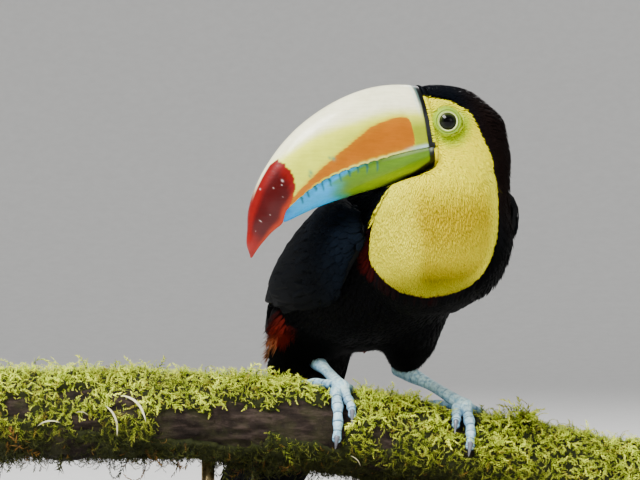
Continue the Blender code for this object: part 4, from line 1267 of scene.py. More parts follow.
for side, sign in (("left", 1), ("right", -1)):
    middle, out, ahead, upward = eye_frame(sign)

    def ball_place(row, a):
        lat = row / BALL_RINGS * math.pi
        r, h = EYE_RADIUS * sin(lat), EYE_RADIUS * cos(lat)
        h = h + 0.0004 * fade(0.0045, 0.0015, r) * (h > 0)
        turn = ahead * cos(a)[:, None] + upward * sin(a)[:, None]
        spokes = 0.5 + 0.5 * sin(a * 46 + 2 * sin(a * 13))
        paint = layered(
            all_over(IRIS_DARK, row),
            (IRIS_OLIVE, 0.55 * spokes * fade(0.0026, 0.0038, r)),
            (IRIS_LIGHT, fade(0.0036, 0.0046, r) * fade(0.1, -0.9, sin(a))),
            (PUPIL_BLACK, fade(PUPIL + 0.0002, PUPIL - 0.0001, r)),
            (EYE_EDGE, fade(IRIS - 0.0002, IRIS, r)),
        )
        return middle + out * h[:, None] + turn * r[:, None], {"iris": paint}

    piece(f"eye_{side}_ball", closed_form(BALL_ROUND, BALL_RINGS, ball_place), glass, "eye", f"eye_{side}")

lid_skin, shader = finish_of("bare_skin", 0.42, Coat_Weight=0.15, Coat_Roughness=0.3)
creases = node(lid_skin, "ShaderNodeTexVoronoi", Vector=object_place(lid_skin), Scale=1500)
feed(lid_skin, shader, Base_Color=painted(lid_skin, "bare"))
bumped(lid_skin, shader, creases.outputs["Distance"], 0.00035, 0.5)
CREAM_RIM, LIME_SKIN, LID_SHADE = (0.92, 0.95, 0.48), (0.26, 0.4, 0), (0.045, 0.06, 0.002)
LEMON_SKIN = (0.62, 0.68, 0)
PATCH_RINGS, PATCH_ROUND = 14, 120

for side, sign in (("left", 1), ("right", -1)):
    middle, out, ahead, upward = eye_frame(sign)
    lid_rows, last = len(LID_PROFILE), len(LID_PROFILE) + PATCH_RINGS

    def lid_place(row, a):
        shape, (edge_r, edge_h) = np.array(LID_PROFILE), LID_PROFILE[-1]
        turn = ahead * cos(a)[:, None] + upward * sin(a)[:, None]
        k = clip(row - 1, 0, lid_rows - 1).astype(int)
        r, h = shape[k, 0], shape[k, 1]
        beads = 0.0001 * sin(a * 34) * ((k >= 2) & (k <= 4))
        points = middle + out * (h + beads)[:, None] + turn * r[:, None]
        beyond = clip((row - lid_rows) / PATCH_RINGS, 0, 1)
        wide = 0.0098 + 0.0012 * cos(a + 2.4)
        reach = edge_r + (wide - edge_r) * beyond
        place, normal = on_surface(skin_surface, middle + turn * reach[:, None] + out * 0.004)
        ripple = 0.00014 * sin(reach * 5200 + 2 * sin(a * 7)) * (1 - beyond)
        rise = 0.0011 + ripple - 0.0014 * beyond**3
        blend_in = fade(0, 0.6, beyond)[:, None]
        start = middle + out * edge_h + turn * reach[:, None]
        patch = start * (1 - blend_in) + (place + normal * rise[:, None]) * blend_in
        found = where((beyond > 0)[:, None], patch, points)
        # the last ring turns under to the middle, which closes the form below the skin
        closing = (row == 0) | (row >= last)
        found = where(closing[:, None], middle + out * 0.001, found)
        # painted shade: darker in the crease of the lid and where the lid meets the eye
        paint = layered(
            all_over(LIME_SKIN, row),
            (LID_SHADE, near(row, 7, 0.8) * 0.75 + (row <= 1)),
            (CREAM_RIM, near(row, 3, 0.6)),
            (LEMON_SKIN, fade(lid_rows, last, row) * (0.55 + 0.45 * sin(a))),
        )
        return found, {"bare": paint}

    piece(f"eyelid_{side}", closed_form(PATCH_ROUND, last, lid_place), lid_skin, "yellow_plumage")

# Shanks and feet ------------------------------------------
# Bare legs in pale turquoise scales, broad plates in front with dark seams between them; the scales
# are painted pale on top as a highlight and deep blue underneath as painted shade. Two toes go
# forward over the branch and two back. Each claw is a curved horn sheath, grey with a pale tip and a
# painted highlight along its top.

ANKLE_RADIUS, SHANK_RADIUS, FOOT_RADIUS, TOE_RADIUS = 0.0046, 0.0033, 0.0053, 0.0036
CLAW_LENGTH, CLAW_RADIUS, CLAW_BEND = 0.0085, 0.0019, math.radians(58)
PALE_SCALE_HIGHLIGHT, BLUE_SCALE, SEAM_BLUE = (0.74, 1.0, 1.0), (0.015, 0.24, 0.6), (0.005, 0.035, 0.11)
UNDER_BLUE_SHADE, WORN_BLUE = (0.015, 0.09, 0.18), (0.08, 0.36, 0.56)
HORN_GREY, TIP_GREY, TOP_GREY_HIGHLIGHT = (0.06, 0.06, 0.08), (0.42, 0.4, 0.4), (0.2, 0.22, 0.26)
SHANK_PLATES, SEAM_LEAN = 11, 0.1
CAP_ROWS = 4  # the rows that round each end of a limb


def toe_path(side, toe, t, radius):
    """Points on a toe's middle line: it starts at the foot and hugs the bark."""
    x, a = toe_line(side, toe, t)
    rise = FOOT_RADIUS * (1 - np.minimum(1, t / 0.35)) ** 2 * 0.25
    return on_branch(x, a, BARK_RADIUS + radius + 0.0005 + rise)


def limb_form(path, radius, around, rings, colours, up_at):
    """A closed round limb. path(t) gives its middle line, radius(t, a) its thickness with a = 0 on
    the side that up_at(t) points to, and colours(t, a) its paint."""

    def place(row, a):
        t = clip((row - CAP_ROWS) / (rings - 2 * CAP_ROWS), 0, 1)
        ahead = unit(path(clip(t + 0.004, 0, 1)) - path(clip(t - 0.004, 0, 1)))
        up = up_at(t)
        up = unit(up - (up * ahead).sum(-1, keepdims=True) * ahead)
        across = np.cross(ahead, up)
        before = clip(1 - row / CAP_ROWS, 0, 1)
        after = clip((row - rings + CAP_ROWS) / CAP_ROWS, 0, 1)
        r = radius(t, a) * np.sqrt(np.maximum(0, 1 - before**2)) * np.sqrt(np.maximum(0, 1 - after**2))
        dome = radius(t, 0 * a) * (after - before) * 0.8
        points = path(t) + ahead * dome[:, None]
        points = points + (up * cos(a)[:, None] + across * sin(a)[:, None]) * r[:, None]
        return points, {"scale": colours(t, a)}

    return closed_form(around, rings, place)


def scale_seams(t, plates, a):
    """0 in the middle of a scale plate, 1 in the seam before the next."""
    plate = (t * plates + SEAM_LEAN * cos(a)) % 1.0
    return clip(fade(0.86, 0.98, plate) + fade(0.05, 0.0, plate), 0, 1)


def leg_colours(plates, deep=0.0, banded=1.0):
    """The paint of a limb with this many plates: pale on top as a painted highlight, deep blue below
    with painted shade underneath. Its top is deeper towards its end by the share deep, and its seams
    are banded by the share banded."""

    def found(t, a):
        # painted light: pale on top as a highlight, deep blue below, darker still underneath as painted shade
        top = 0.5 + 0.5 * cos(a)
        pale = (top * (1.0 - deep * t))[:, None]
        base = np.array(BLUE_SCALE) * (1 - pale) + np.array(PALE_SCALE_HIGHLIGHT) * pale
        index = np.floor(t * plates + SEAM_LEAN * cos(a))
        base = base * (0.88 + 0.22 * sin(index * 12.9898) ** 2)[:, None]
        worn = 0.5 + 0.5 * sin(9 * a + 40 * t) * sin(31 * t * (1 + 0.3 * cos(a)) + 2 * a)
        return layered(
            base,
            (UNDER_BLUE_SHADE, 0.8 * fade(-0.35, -0.8, cos(a))),
            (WORN_BLUE, 0.55 * worn**2 * (1 - 0.6 * top**2)),
            (SEAM_BLUE, scale_seams(t, plates, a) * (0.7 + 0.3 * top) * banded),
        )

    return found


scaly, shader = finish_of("leg_scales", 0.5, Specular_IOR_Level=0.25)
place = object_place(scaly)
skin_cells = node(scaly, "ShaderNodeTexVoronoi", {"feature": "DISTANCE_TO_EDGE"}, Vector=place, Scale=1100)
dust = ramp(scaly, noise(scaly, 420, 4, place), (0.36, (0.42, 0.58, 0.7)), (0.56, (1, 1, 1)))
feed(scaly, shader, Base_Color=mixed(scaly, 1.0, painted(scaly, "scale"), dust, "MULTIPLY"))
bumped(scaly, shader, skin_cells.outputs["Distance"], 0.0009, 0.8)

nail, shader = finish_of("claw_horn", 0.3, Coat_Weight=0.4, Coat_Roughness=0.2)
feed(nail, shader, Base_Color=painted(nail, "scale"))
bumped(nail, shader, noise(nail, 800, 3), 0.0001, 0.4)


def shank_form(side):
    """A shank, from inside the thigh's feathers down to the foot."""
    ankle = np.array(HIPS[side][1])
    foot_x, foot_round = FOOT_PLACES[side]
    foot = on_branch(foot_x, math.radians(foot_round), BARK_RADIUS + FOOT_RADIUS + 0.0006)
    down = (foot - ankle) / np.linalg.norm(foot - ankle)
    start, end = ankle - down * 0.006, foot + down * 0.0028
    radii = ((0, ANKLE_RADIUS), (0.22, ANKLE_RADIUS), (0.5, SHANK_RADIUS), (0.85, 0.004), (1, FOOT_RADIUS))

    def path(t):
        bow = 0.0015 * sin(math.pi * t)
        return start + (end - start) * t[:, None] + np.array((0, 0, 1)) * bow[:, None]

    def radius(t, a):
        (r,) = between(radii, t)
        return r * (1 - 0.085 * scale_seams(t, SHANK_PLATES, a) * (0.6 + 0.4 * cos(a)))

    def front(t):
        return all_over((0.2, -0.8, 0.6), t)

    return limb_form(path, radius, 48, 150, leg_colours(SHANK_PLATES, -0.1, 0.35), front)


def toe_form(side, toe, thick, plates):
    """A toe in its scales, with three soft pads below."""

    def path(t):
        return toe_path(side, toe, 0.04 + 0.96 * t, TOE_RADIUS * thick * 1.05 * (1 - 0.28 * t))

    def radius(t, a):
        pads = 1 + 0.09 * cos(math.tau * 3 * t)
        under = 1 - 0.05 * cos(a) + 0.03 * cos(math.tau * 3 * t) * (cos(a) < 0)
        seam = 1 - 0.1 * scale_seams(t, plates, a) * clip(0.3 + cos(a), 0, 1)
        return TOE_RADIUS * thick * (1 - 0.3 * t) * pads * seam * under * 0.97

    def off_bark(t):
        p = path(t)
        return unit(p - branch_axis(p[:, 0]))

    return limb_form(path, radius, 40, 110, leg_colours(plates, 0.25), off_bark)


def claw_form(side, toe, thick):
    """The curved sheath of a claw, from inside the toe's tip."""
    before, tip = toe_path(side, toe, np.array([0.93, 1.0]), TOE_RADIUS * thick * 0.85)
    out, ahead = unit(tip - branch_axis(tip[:1])[0]), unit(tip - before)

    def path(t):
        bend = CLAW_BEND * t
        reach, drop = CLAW_LENGTH * sin(bend) / CLAW_BEND, CLAW_LENGTH * (1 - cos(bend)) / CLAW_BEND
        return tip + ahead * (reach - 0.0016)[:, None] + out * (0.0012 - drop * 0.55)[:, None]

    def radius(t, a):
        taper = CLAW_RADIUS * thick * (1 - 0.88 * t)
        return taper * (1 + 0.1 * cos(a)) * (1.02 - 0.1 * np.abs(sin(a)))

    def colours(t, a):
        # a painted highlight lightens the claw along its top
        tip_share, top = fade(0.55, 0.95, t) * 0.8, 0.5 * fade(0.2, 1, cos(a))
        return layered(all_over(HORN_GREY, t), (TIP_GREY, tip_share), (TOP_GREY_HIGHLIGHT, top))

    def upward(t):
        return all_over(out, t)

    return limb_form(path, radius, 28, 44, colours, upward)


for side in FOOT_PLACES:
    piece(f"shank_{side}_scales", shank_form(side), scaly, "blue_legs", f"shank_{side}")
    for toe, (_, _, thick) in TOES[side].items():
        form = toe_form(side, toe, thick, 6 if toe in ("toe3", "toe4") else 4)
        piece(f"{toe}_{side}_scales", form, scaly, "blue_legs", f"{toe}_{side}")
        claw = claw_form(side, toe, thick)
        piece(f"claw_{toe}_{side}_horn", claw, nail, "claw", f"claw_{toe}_{side}")

# Body plumage ---------------------------------------------
# Small contour feathers of the head, breast, back and belly, each a thin curved vane that grows out
# of the skin, lies along the body and covers the roots of the next. They are silky and short on
# the face, longer downwards, and loose and plume-like on the thighs and under the tail.

rng = np.random.default_rng(7)


def vane_shape(profile, across=2, shaft=0.0):
    """One feather as a closed lens: rows (share of the length, half width), ending in a point. Its
    points are (across, along, over) in half widths, lengths and thicknesses."""
    made = bmesh.new()
    last = len(profile) - 1
    bmesh.ops.create_grid(made, x_segments=across, y_segments=last, size=1)
    inner = {}
    for v in made.verts:
        k = round((v.co.y + 1) / 2 * last)
        share, half = profile[k]
        if abs(v.co.x) < 1 - 1e-6 and 0 < k < last:
            inner[v] = 1 - v.co.x**2
        v.co = Vector((v.co.x * half, share, shaft * (abs(v.co.x) < 1e-6) * (1 - share)))
    copied = bmesh.ops.duplicate(made, geom=made.verts[:] + made.edges[:] + made.faces[:])
    for v, depth in inner.items():
        copied["vert_map"][v].co.z -= depth
    bmesh.ops.reverse_faces(made, faces=[f for f in copied["geom"] if isinstance(f, bmesh.types.BMFace)])
    bmesh.ops.remove_doubles(made, verts=made.verts, dist=1e-5)
    return shape_arrays(made)


def plume_shape(barbs, seed):
    """A loose feather: a few slender closed barbs that fan out from one root."""
    draw = np.random.default_rng(seed)
    made = bmesh.new()
    bmesh.ops.create_cone(made, cap_ends=True, segments=3, radius1=0.16, radius2=0.001, depth=1)
    sides = [e for e in made.edges if abs(e.verts[0].co.z - e.verts[1].co.z) > 0.5]
    bmesh.ops.subdivide_edges(made, edges=sides, cuts=1)
    bmesh.ops.remove_doubles(made, verts=made.verts, dist=0.01)
    barb, barb_faces = shape_arrays(outward(made))
    points, faces = [], []
    t = barb[:, 2] + 0.5
    swell = where((t > 0.2) & (t < 0.8), 1.7, 1.0)
    for i in range(barbs):
        lean = (i - (barbs - 1) / 2) / max(1, (barbs - 1) / 2)
        reach, over = draw.uniform(0.75, 1.0), draw.uniform(-0.8, 0.8)
        faces += [[v + i * len(barb) for v in f] for f in barb_faces]
        across = barb[:, 0] * swell + lean * t**1.3
        points.append(np.stack([across, t * reach, barb[:, 1] * 5 * swell + over * t], -1))
    return np.concatenate(points), faces


def laid(roots, outs, ways, lengths, widths, rises, surface, shape, droop=0.25, thick=0.00012,
         root_rise=0.0002, stations=5):
    """Lays one shape along a surface from each root: it follows the way over the surface, and rises
    from it towards its tip."""
    points, _ = shape
    here, normal = roots.copy(), outs.copy()
    way = unit(ways - (ways * normal).sum(-1, keepdims=True) * normal)
    lines, sides, ups = [], [], []
    for k in range(stations):
        t = k / (stations - 1)
        rise = root_rise + (rises - root_rise) * t**0.8
        lines.append(here + normal * np.broadcast_to(rise, len(here))[:, None])
        sides.append(np.cross(normal, way))
        ups.append(normal)
        if k < stations - 1:
            here, normal = on_surface(surface, here + way * (lengths / (stations - 1))[:, None])
            way = unit(way - (way * normal).sum(-1, keepdims=True) * normal)
    lines, sides, ups = (np.stack(v, 1) for v in (lines, sides, ups))
    t = clip(points[:, 1], 0, 1) * (stations - 1)
    k = np.minimum(t.astype(int), stations - 2)
    part = (t - k)[None, :, None]
    line, side, up = (v[:, k] * (1 - part) + v[:, k + 1] * part for v in (lines, sides, ups))
    across = points[None, :, 0:1] * (widths / 2)[:, None, None]
    over = points[None, :, 2] * thick - droop * np.abs(points[None, :, 0]) ** 2 * (widths / 2)[:, None]
    return line + side * across + up * over[:, :, None]


def spread_over(mesh, wanted, seed):
    """Random points over a mesh, as many per square metre as wanted gives at each face's middle."""
    draw = np.random.default_rng(seed)
    mesh.calc_loop_triangles()
    corners = np.zeros(len(mesh.loop_triangles) * 3, np.int32)
    mesh.loop_triangles.foreach_get("vertices", corners)
    co, normal = (points_of(mesh, kind)[corners.reshape(-1, 3)] for kind in ("co", "normal"))
    area = np.linalg.norm(np.cross(co[:, 1] - co[:, 0], co[:, 2] - co[:, 0]), axis=1) / 2
    share = np.cumsum(area * wanted(co.mean(1)))
    count = int(share[-1])
    face = np.searchsorted(share, draw.random(count) * share[-1])
    a, b = draw.random((2, count, 1))
    a, b = where(a + b > 1, 1 - a, a), where(a + b > 1, 1 - b, b)
    return tuple(v[face, 0] * (1 - a - b) + v[face, 1] * a + v[face, 2] * b for v in (co, normal))


# which way feathers lie, as (place, way): in the head's frame, down the neck and breast, and in the
# trunk's frame. In the frames, a place off the middle stands for both sides
HEAD_WAYS = (
    ((0.022, 0, 0.032), (-1, 0, 0.1)), ((0.004, 0, 0.028), (-1, 0, -0.35)),
    ((-0.014, 0, 0.014), (-0.7, 0, -0.8)), ((-0.024, 0, -0.006), (-0.25, 0, -1)),
    ((0.02, 0.018, 0.018), (-1, 0.1, 0.3)), ((0.002, 0.02, 0.014), (-1, 0, -0.25)),
    ((0.02, 0.018, 0.002), (-1, 0.2, -0.25)), ((-0.004, 0.021, -0.002), (-0.8, 0, -0.8)),
    ((0.018, 0.018, -0.012), (-0.7, 0.1, -0.8)), ((0.02, 0, -0.022), (-0.5, 0, -1)),
    ((-0.002, 0.021, -0.018), (-0.4, 0, -1)),
)
NECK_WAYS = (
    ((0.03, -0.066, 0.245), (-0.15, -0.1, -1)), ((0.06, -0.078, 0.245), (0.02, -0.1, -1)),
    ((0.092, -0.05, 0.24), (0.1, 0, -1)), ((0.05, -0.084, 0.215), (0, 0.02, -1)),
    ((0.014, -0.06, 0.215), (-0.12, 0.05, -1)), ((0.09, -0.045, 0.21), (0.05, 0.1, -1)),
    ((0.05, -0.078, 0.192), (0, 0.25, -1)), ((0.046, -0.055, 0.172), (-0.1, 0.75, -0.75)),
    ((0.078, -0.018, 0.245), (0, 0.6, -0.9)),
)
TRUNK_WAYS = (
    ((0.06, 0, 0.042), (-1, 0, 0.2)), ((0.02, 0, 0.048), (-1, 0, 0)), ((-0.03, 0, 0.042), (-1, 0, -0.1)),
    ((0.03, 0.05, 0), (-1, 0.0, -0.25)), ((-0.03, 0.043, 0), (-1, -0.1, -0.15)),
    ((0.03, 0, -0.045), (-1, 0, -0.1)), ((-0.02, 0, -0.045), (-1, 0, 0)),
    ((0.06, 0.03, -0.02), (-0.8, 0, -0.5)), ((-0.08, 0, 0.01), (-1, 0, -0.5)),
    ((-0.08, 0, -0.035), (-1, 0, -0.4)),
)


def flow_samples():
    """Named places on the bird and the way its feathers lie there."""
    found = []
    for part, rows in ((HEAD, HEAD_WAYS), (None, NECK_WAYS), (TRUNK, TRUNK_WAYS)):
        for place, way in rows:
            if part is None:
                found.append((Vector(place), Vector(way)))
                continue
            for side in (1, -1)[:2 if place[1] else 1]:
                mirror = Vector((1, side, 1))
                found.append((part @ (Vector(place) * mirror), part.to_3x3() @ (Vector(way) * mirror)))
    for hip, ankle, _ in HIPS.values():
        for share in (0.55, 0.95):
            found.append((Vector(hip).lerp(Vector(ankle), share), Vector(ankle) - Vector(hip)))
    return np.array([tuple(p) for p, _ in found]), unit(np.array([tuple(w) for _, w in found]))


FLOW_PLACES, FLOW_WAYS = flow_samples()


def flow(points):
    """The way the feathers lie at points on the body."""
    far = np.linalg.norm(points[:, None] - FLOW_PLACES[None], axis=-1)
    weight = 1 / (far**2 + 0.008**2) ** 2
    return unit((weight[:, :, None] * FLOW_WAYS[None]).sum(1))


def face_share(points):
    """1 on the face, where the feathers are smallest, falling to 0 down the neck."""
    f, _, u = into(HEAD, points).T
    return fade(-0.034, -0.008, u) * fade(-0.02, 0.004, f)


WING_RIM = 0.01  # how far in under a wing's edge feathers still grow


def behind_wing(points, outs):
    """Whether a folded wing covers each point, apart from a rim near the wing's edge."""
    found = np.zeros(len(points), bool)
    for i, (point, out) in enumerate(zip(points, outs)):
        for tree in wing_trees:
            if tree.ray_cast(point, out, 0.016)[0] is not None:
                start, out = Vector(point), Vector(out)
                sideways = [out.orthogonal().normalized()]
                sideways.append(out.cross(sideways[0]))
                around = [start + s * k * WING_RIM - out * 0.004 for s in sideways for k in (1, -1)]
                found[i] = all(tree.ray_cast(p, out, 0.024)[0] is not None for p in around)
    return found


wing_trees = [surface_of(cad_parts[f"wing_{side}"].data)[0] for side in ("left", "right")]

FINE_SPACING, BODY_SPACING, HEAD_SPACING, PLUME_SPACING = 0.0008, 0.0021, 0.0013, 0.0016


def spacing_of(points):
    """How far apart the feathers grow."""
    face = face_share(points)
    head = fade(0.225, 0.25, points[:, 2])
    black = BODY_SPACING * (1 - head) + HEAD_SPACING * head
    base = where(past_yellow(points) > -0.0065, FINE_SPACING, black)
    base = where(on_thighs(points), PLUME_SPACING, base)
    return base * (1 - face) + FINE_SPACING * face


roots, outs = spread_over(skin_mesh, lambda p: 5.0 / spacing_of(p) ** 2, 11)
outs = unit(outs)
kept = scattered(roots, spacing_of(roots), 12)
roots, outs = roots[kept], outs[kept]
# nothing grows under the bill, the eyes or the wings
local = into(HEAD, roots)
eyes = [eye_frame(sign)[:2] for sign in (1, -1)]
eye_far = np.min([np.linalg.norm(roots - middle - out * 0.004, axis=1) for middle, out in eyes], 0)
forward, aside, above = local.T
bill_cap = (forward > 0.0205) & (np.abs(aside) < 0.015) & (above < 0.027) & (above > -0.015)
growing = (eye_far > 0.0064) & ~bill_cap & ~behind_wing(roots, outs)
roots, outs, local, eye_far = roots[growing], outs[growing], local[growing], eye_far[growing]


def fringe(half, share, count):
    """Roots, outward directions and ways of a row of feathers round the root of the bill."""
    at = np.full(count, share)
    a = np.linspace(0.02, 0.98, count) * math.pi + rng.normal(0, 0.006, count)
    at = at + 0.009 * (1 - sin(a)) * (half == "upper") + 0.006 * (half == "lower")
    here, back = bill_point(half, at, a), bill_point(half, at - 0.02, a)
    beside = bill_point(half, at, a + 0.02)
    out = unit(np.cross(beside - here, here - back)) * (1 if half == "upper" else -1)
    turn = np.array(HEAD.to_3x3()).T
    return out_of(HEAD, here - out * 0.0003), out @ turn, unit(back - here) @ turn


# short feathers that grow from the rim of the horn and hide its root; they lie over horn and skin
made = bmesh.new()
for half in ("upper", "lower"):
    made.from_mesh(bill_form(half, 90, 0.7, 60))
made.from_mesh(skin_mesh)
rim_mesh = mesh_of(made, "rim")
rim_surface = surface_of(rim_mesh)
bpy.data.meshes.remove(rim_mesh)
rows = [fringe(half, share, count) for share in (-0.026, -0.018, -0.01, -0.003)
        for half, count in (("upper", 120), ("lower", 64))]
fringe_roots, fringe_outs, fringe_ways = (np.concatenate(v) for v in zip(*rows))
first_rim = len(roots)
roots, outs = np.concatenate([roots, fringe_roots]), np.concatenate([outs, fringe_outs])
local = into(HEAD, roots)
eye_far = np.concatenate([eye_far, np.full(len(fringe_roots), 0.02)])

inside = past_yellow(roots + outs * SKIN_DEPTH)
face, thigh = face_share(roots), on_thighs(roots)
x, z = roots[:, 0], roots[:, 2]
head = fade(0.222, 0.252, z)
vent = fade(-0.045, -0.06, into(TRUNK, roots)[:, 0]) * (into(TAIL, roots)[:, 2] < 0.002) * ~thigh > 0.5
yellow = inside > 0
loose = thigh | vent

lengths = where(yellow, 0.0068, 0.0125 * (1 - head) + 0.0052 * head)
lengths = where(thigh, 0.0105, lengths) * (1 - face) + 0.0027 * face
lengths = where(vent, 0.019 * (1 - 0.5 * fade(0.174, 0.161, z)), lengths)
widths = where(yellow, 0.00165, 0.005 * (1 - head) + 0.0018 * head) * (1 - face) + 0.00105 * face
widths = where(loose, 0.006, widths)
rises = where(yellow, 0.0006, 0.0022) * (1 - face) + 0.0006 * face
rises = where(loose, 0.0038, rises) + 0.0045 * vent * fade(-0.026, -0.034, x)
flank = fade(0.076, 0.088, x) * fade(0.158, 0.172, z) * fade(0.236, 0.222, z)
rises = rises + 0.003 * flank * ~yellow
lengths *= rng.uniform(0.85, 1.15, len(roots))
widths *= rng.uniform(0.85, 1.15, len(roots))
rises *= rng.uniform(0.88, 1.12, len(roots))
# the crown's feathers stand out most, those round the eye are very short
crown = fade(0.01, 0.022, local[:, 2]) * fade(-0.03, -0.012, local[:, 0]) * (inside < 0)
crown[first_rim:] *= 0.25
rises = rises + 0.0022 * crown
by_eye = fade(0.0125, 0.0075, eye_far)
lengths *= 1 - 0.45 * by_eye
rises *= 1 - 0.45 * by_eye
ways = flow(roots) + rng.normal(0, 0.035, roots.shape) * where(yellow, 0.6, 1.0)[:, None]
ways[first_rim:] = fringe_ways
colours = coat_colour(roots + outs * SKIN_DEPTH + ways * (lengths * 0.35)[:, None])
shade = where(yellow, rng.uniform(0.97, 1.02, len(roots)), rng.uniform(0.8, 1.15, len(roots)))
colours = clip(colours * shade[:, None], 0, 1)
colours[:, 1] = clip(colours[:, 1] * rng.uniform(0.96, 1.03, len(roots)), 0, 1)
patches = skin_unwrap(roots)


def reckoned(made, operation, *values):
    """A number worked out from others."""
    inputs = {f"in{i}": value for i, value in enumerate(values)}
    return node(made, "ShaderNodeMath", {"operation": operation}, **inputs).outputs["Value"]


def plumage_finish(name, roughness, bump, specular, root_tone=0.72):
    """Feathers in their stored colours, darker by root_tone at the root and the shaft, with fine
    slanting barbs."""
    made, shader = finish_of(name, roughness, Specular_IOR_Level=specular)
    vane = node(made, "ShaderNodeUVMap", {"uv_map": "vane"}).outputs["UV"]
    split = node(made, "ShaderNodeSeparateXYZ", Vector=vane).outputs
    half = reckoned(made, "ABSOLUTE", split["X"])
    slant = reckoned(made, "MULTIPLY_ADD", half, -0.35, split["Y"])
    barbs = reckoned(made, "SINE", reckoned(made, "MULTIPLY", slant, 150.0))
    shaft = node(made, "ShaderNodeMapRange", in0=half, in1=0.0, in2=0.09, in3=root_tone**0.5, in4=1.0)
    root = node(made, "ShaderNodeMapRange", in0=split["Y"], in1=0.0, in2=0.55, in3=root_tone, in4=1.0)
    dark = reckoned(made, "MULTIPLY", shaft.outputs["Result"], root.outputs["Result"])
    tone = node(made, "ShaderNodeCombineColor", Red=dark, Green=dark, Blue=dark).outputs["Color"]
    feed(made, shader, Base_Color=mixed(made, 1.0, painted(made, "tint"), tone, "MULTIPLY"))
    bumped(made, shader, barbs, bump, 0.5)
    return made


silk = plumage_finish("yellow_plumage", 0.85, 0.00002, 0.03, 0.97)
velvet = plumage_finish("black_plumage", 0.72, 0.0001, 0.03)

small_vane = vane_shape(((0, 0.35), (0.3, 0.92), (0.62, 1.0), (0.86, 0.66), (1.0, 0.0)))
hair_vane = vane_shape(((0, 0.6), (0.4, 1.0), (0.78, 0.66), (1.0, 0.0)))
plume = plume_shape(5, 3)
VENT_FLUFF = (0.8, 0.3, 0.12)

for name, mask, shape, finish, slot, droop in (
    ("face_and_bib_feathers", yellow, hair_vane, silk, "yellow_plumage", 0.03),
    ("body_feathers", ~yellow & ~loose, small_vane, velvet, "black_plumage", 0.22),
    ("thigh_and_vent_plumes", loose, plume, velvet, "black_plumage", 0.1),
):
    chosen = np.nonzero(mask)[0]
    by_rim = chosen >= first_rim
    places = []
    for i, surface in ((chosen[~by_rim], skin_surface), (chosen[by_rim], rim_surface)):
        sizes = (lengths[i], widths[i], rises[i])
        root_rise = 0.0002 + 0.0018 * crown[i]
        places.append(laid(roots[i], outs[i], ways[i], *sizes, surface, shape, droop, root_rise=root_rise))
    shades = colours[chosen]
    if shape is plume:
        # the lowest plumes under the tail have pale, fluffy ends
        pale = vent[chosen] * fade(-0.03, -0.036, x[chosen]) * fade(0.163, 0.157, z[chosen])
        share = pale[:, None, None] * clip(shape[0][:, 1] * 2 - 1, 0, 1)[None, :, None]
        shades = shades[:, None] * (1 - share) + np.array(VENT_FLUFF) * share
    joined(name, shape, np.concatenate(places), shades, patches[chosen], finish, slot)

# Wings ----------------------------------------------------
# Two folded wings. Coverts lie in rows over the wing's flesh like tiles; below them the secondaries
# and the longer primaries are stacked with their outer edges showing. All are black, with a cold
# blue sheen painted on at the shoulder.

# forward of the trunk's middle, half width and half depth of the body there, lift above its axis,
# where the wing starts and ends round the body from the spine, and how far it stands out
WING_STATIONS = (
    (0.052, 0.045, 0.036, 0.0, 68, 90, 0.003),
    (0.042, 0.053, 0.0415, 0.0, 53, 101, 0.0066),
    (0.022, 0.0555, 0.045, 0.0, 34, 112, 0.0066),
    (0.0, 0.0535, 0.045, 0.0, 22, 119, 0.0062),
    (-0.03, 0.0485, 0.0405, 0.0, 18, 112, 0.006),
    (-0.058, 0.0395, 0.0335, -0.001, 20, 102, 0.0056),
    (-0.082, 0.0275, 0.024, -0.003, 26, 94, 0.005),
    (-0.101, 0.0175, 0.0155, -0.005, 38, 78, 0.004),
)
SHOULDER_REACH = {"left": 0.0225, "right": -0.012}
WING_SUNK = 0.0016
# coverts: forward, first and last share across, how many, length, width, how far the tips rise
COVERT_ROWS = [(0.0505 - 0.0038 * k, 0.03, 0.97, 15 + k, 0.0085 + 0.0005 * k, 0.0048 + 0.0002 * k, 0.001)
               for k in range(13)]
COVERT_ROWS += [(0.006, 0.04, 0.95, 17, 0.019, 0.0085, 0.0012),
                (-0.003, 0.04, 0.93, 16, 0.029, 0.01, 0.0013)]
# scapulars, which lie over the wing's upper edge, are given the same way
COVERT_ROWS += [(0.029 - 0.009 * k, -0.04, 0.26, 6, 0.017 + 0.0012 * k, 0.0085, 0.0015) for k in range(7)]
WING_BLACK, WING_PAINTED_SHEEN = (0.0022, 0.0026, 0.0034), (0.0022, 0.0042, 0.008)
WING_PUFF = {"left": 0.0, "right": 0.0016}  # how far the loosely held right wing's feathers stand off


def wing_point(side, x, t):
    """Points on the wing's outside: x forward of the trunk's middle, t across from its upper edge."""
    sign = 1 if side == "left" else -1
    wide, deep, lift, start, end, stand = between(WING_STATIONS, x)
    a = np.radians(start + (end - start) * t)
    forward = x + SHOULDER_REACH[side] * np.maximum(0, (x + 0.03) / 0.08)
    y, z = sign * (wide + stand) * sin(a), (deep + stand) * cos(a) + lift
    return out_of(TRUNK, np.stack([forward, y, z], -1))


def row_laid(side, surface, x, t, length, width, rise, shape, fan=0.0, **ways):
    """Lays a row of feathers over the wing from places (x, t) on it; fan turns them across."""
    start, normals = on_surface(surface, wing_point(side, x, t))
    way = unit(wing_point(side, x - 0.012, t + fan) - wing_point(side, x, t))
    return laid(start, normals, way, length, width, rise, surface, shape, **ways), start


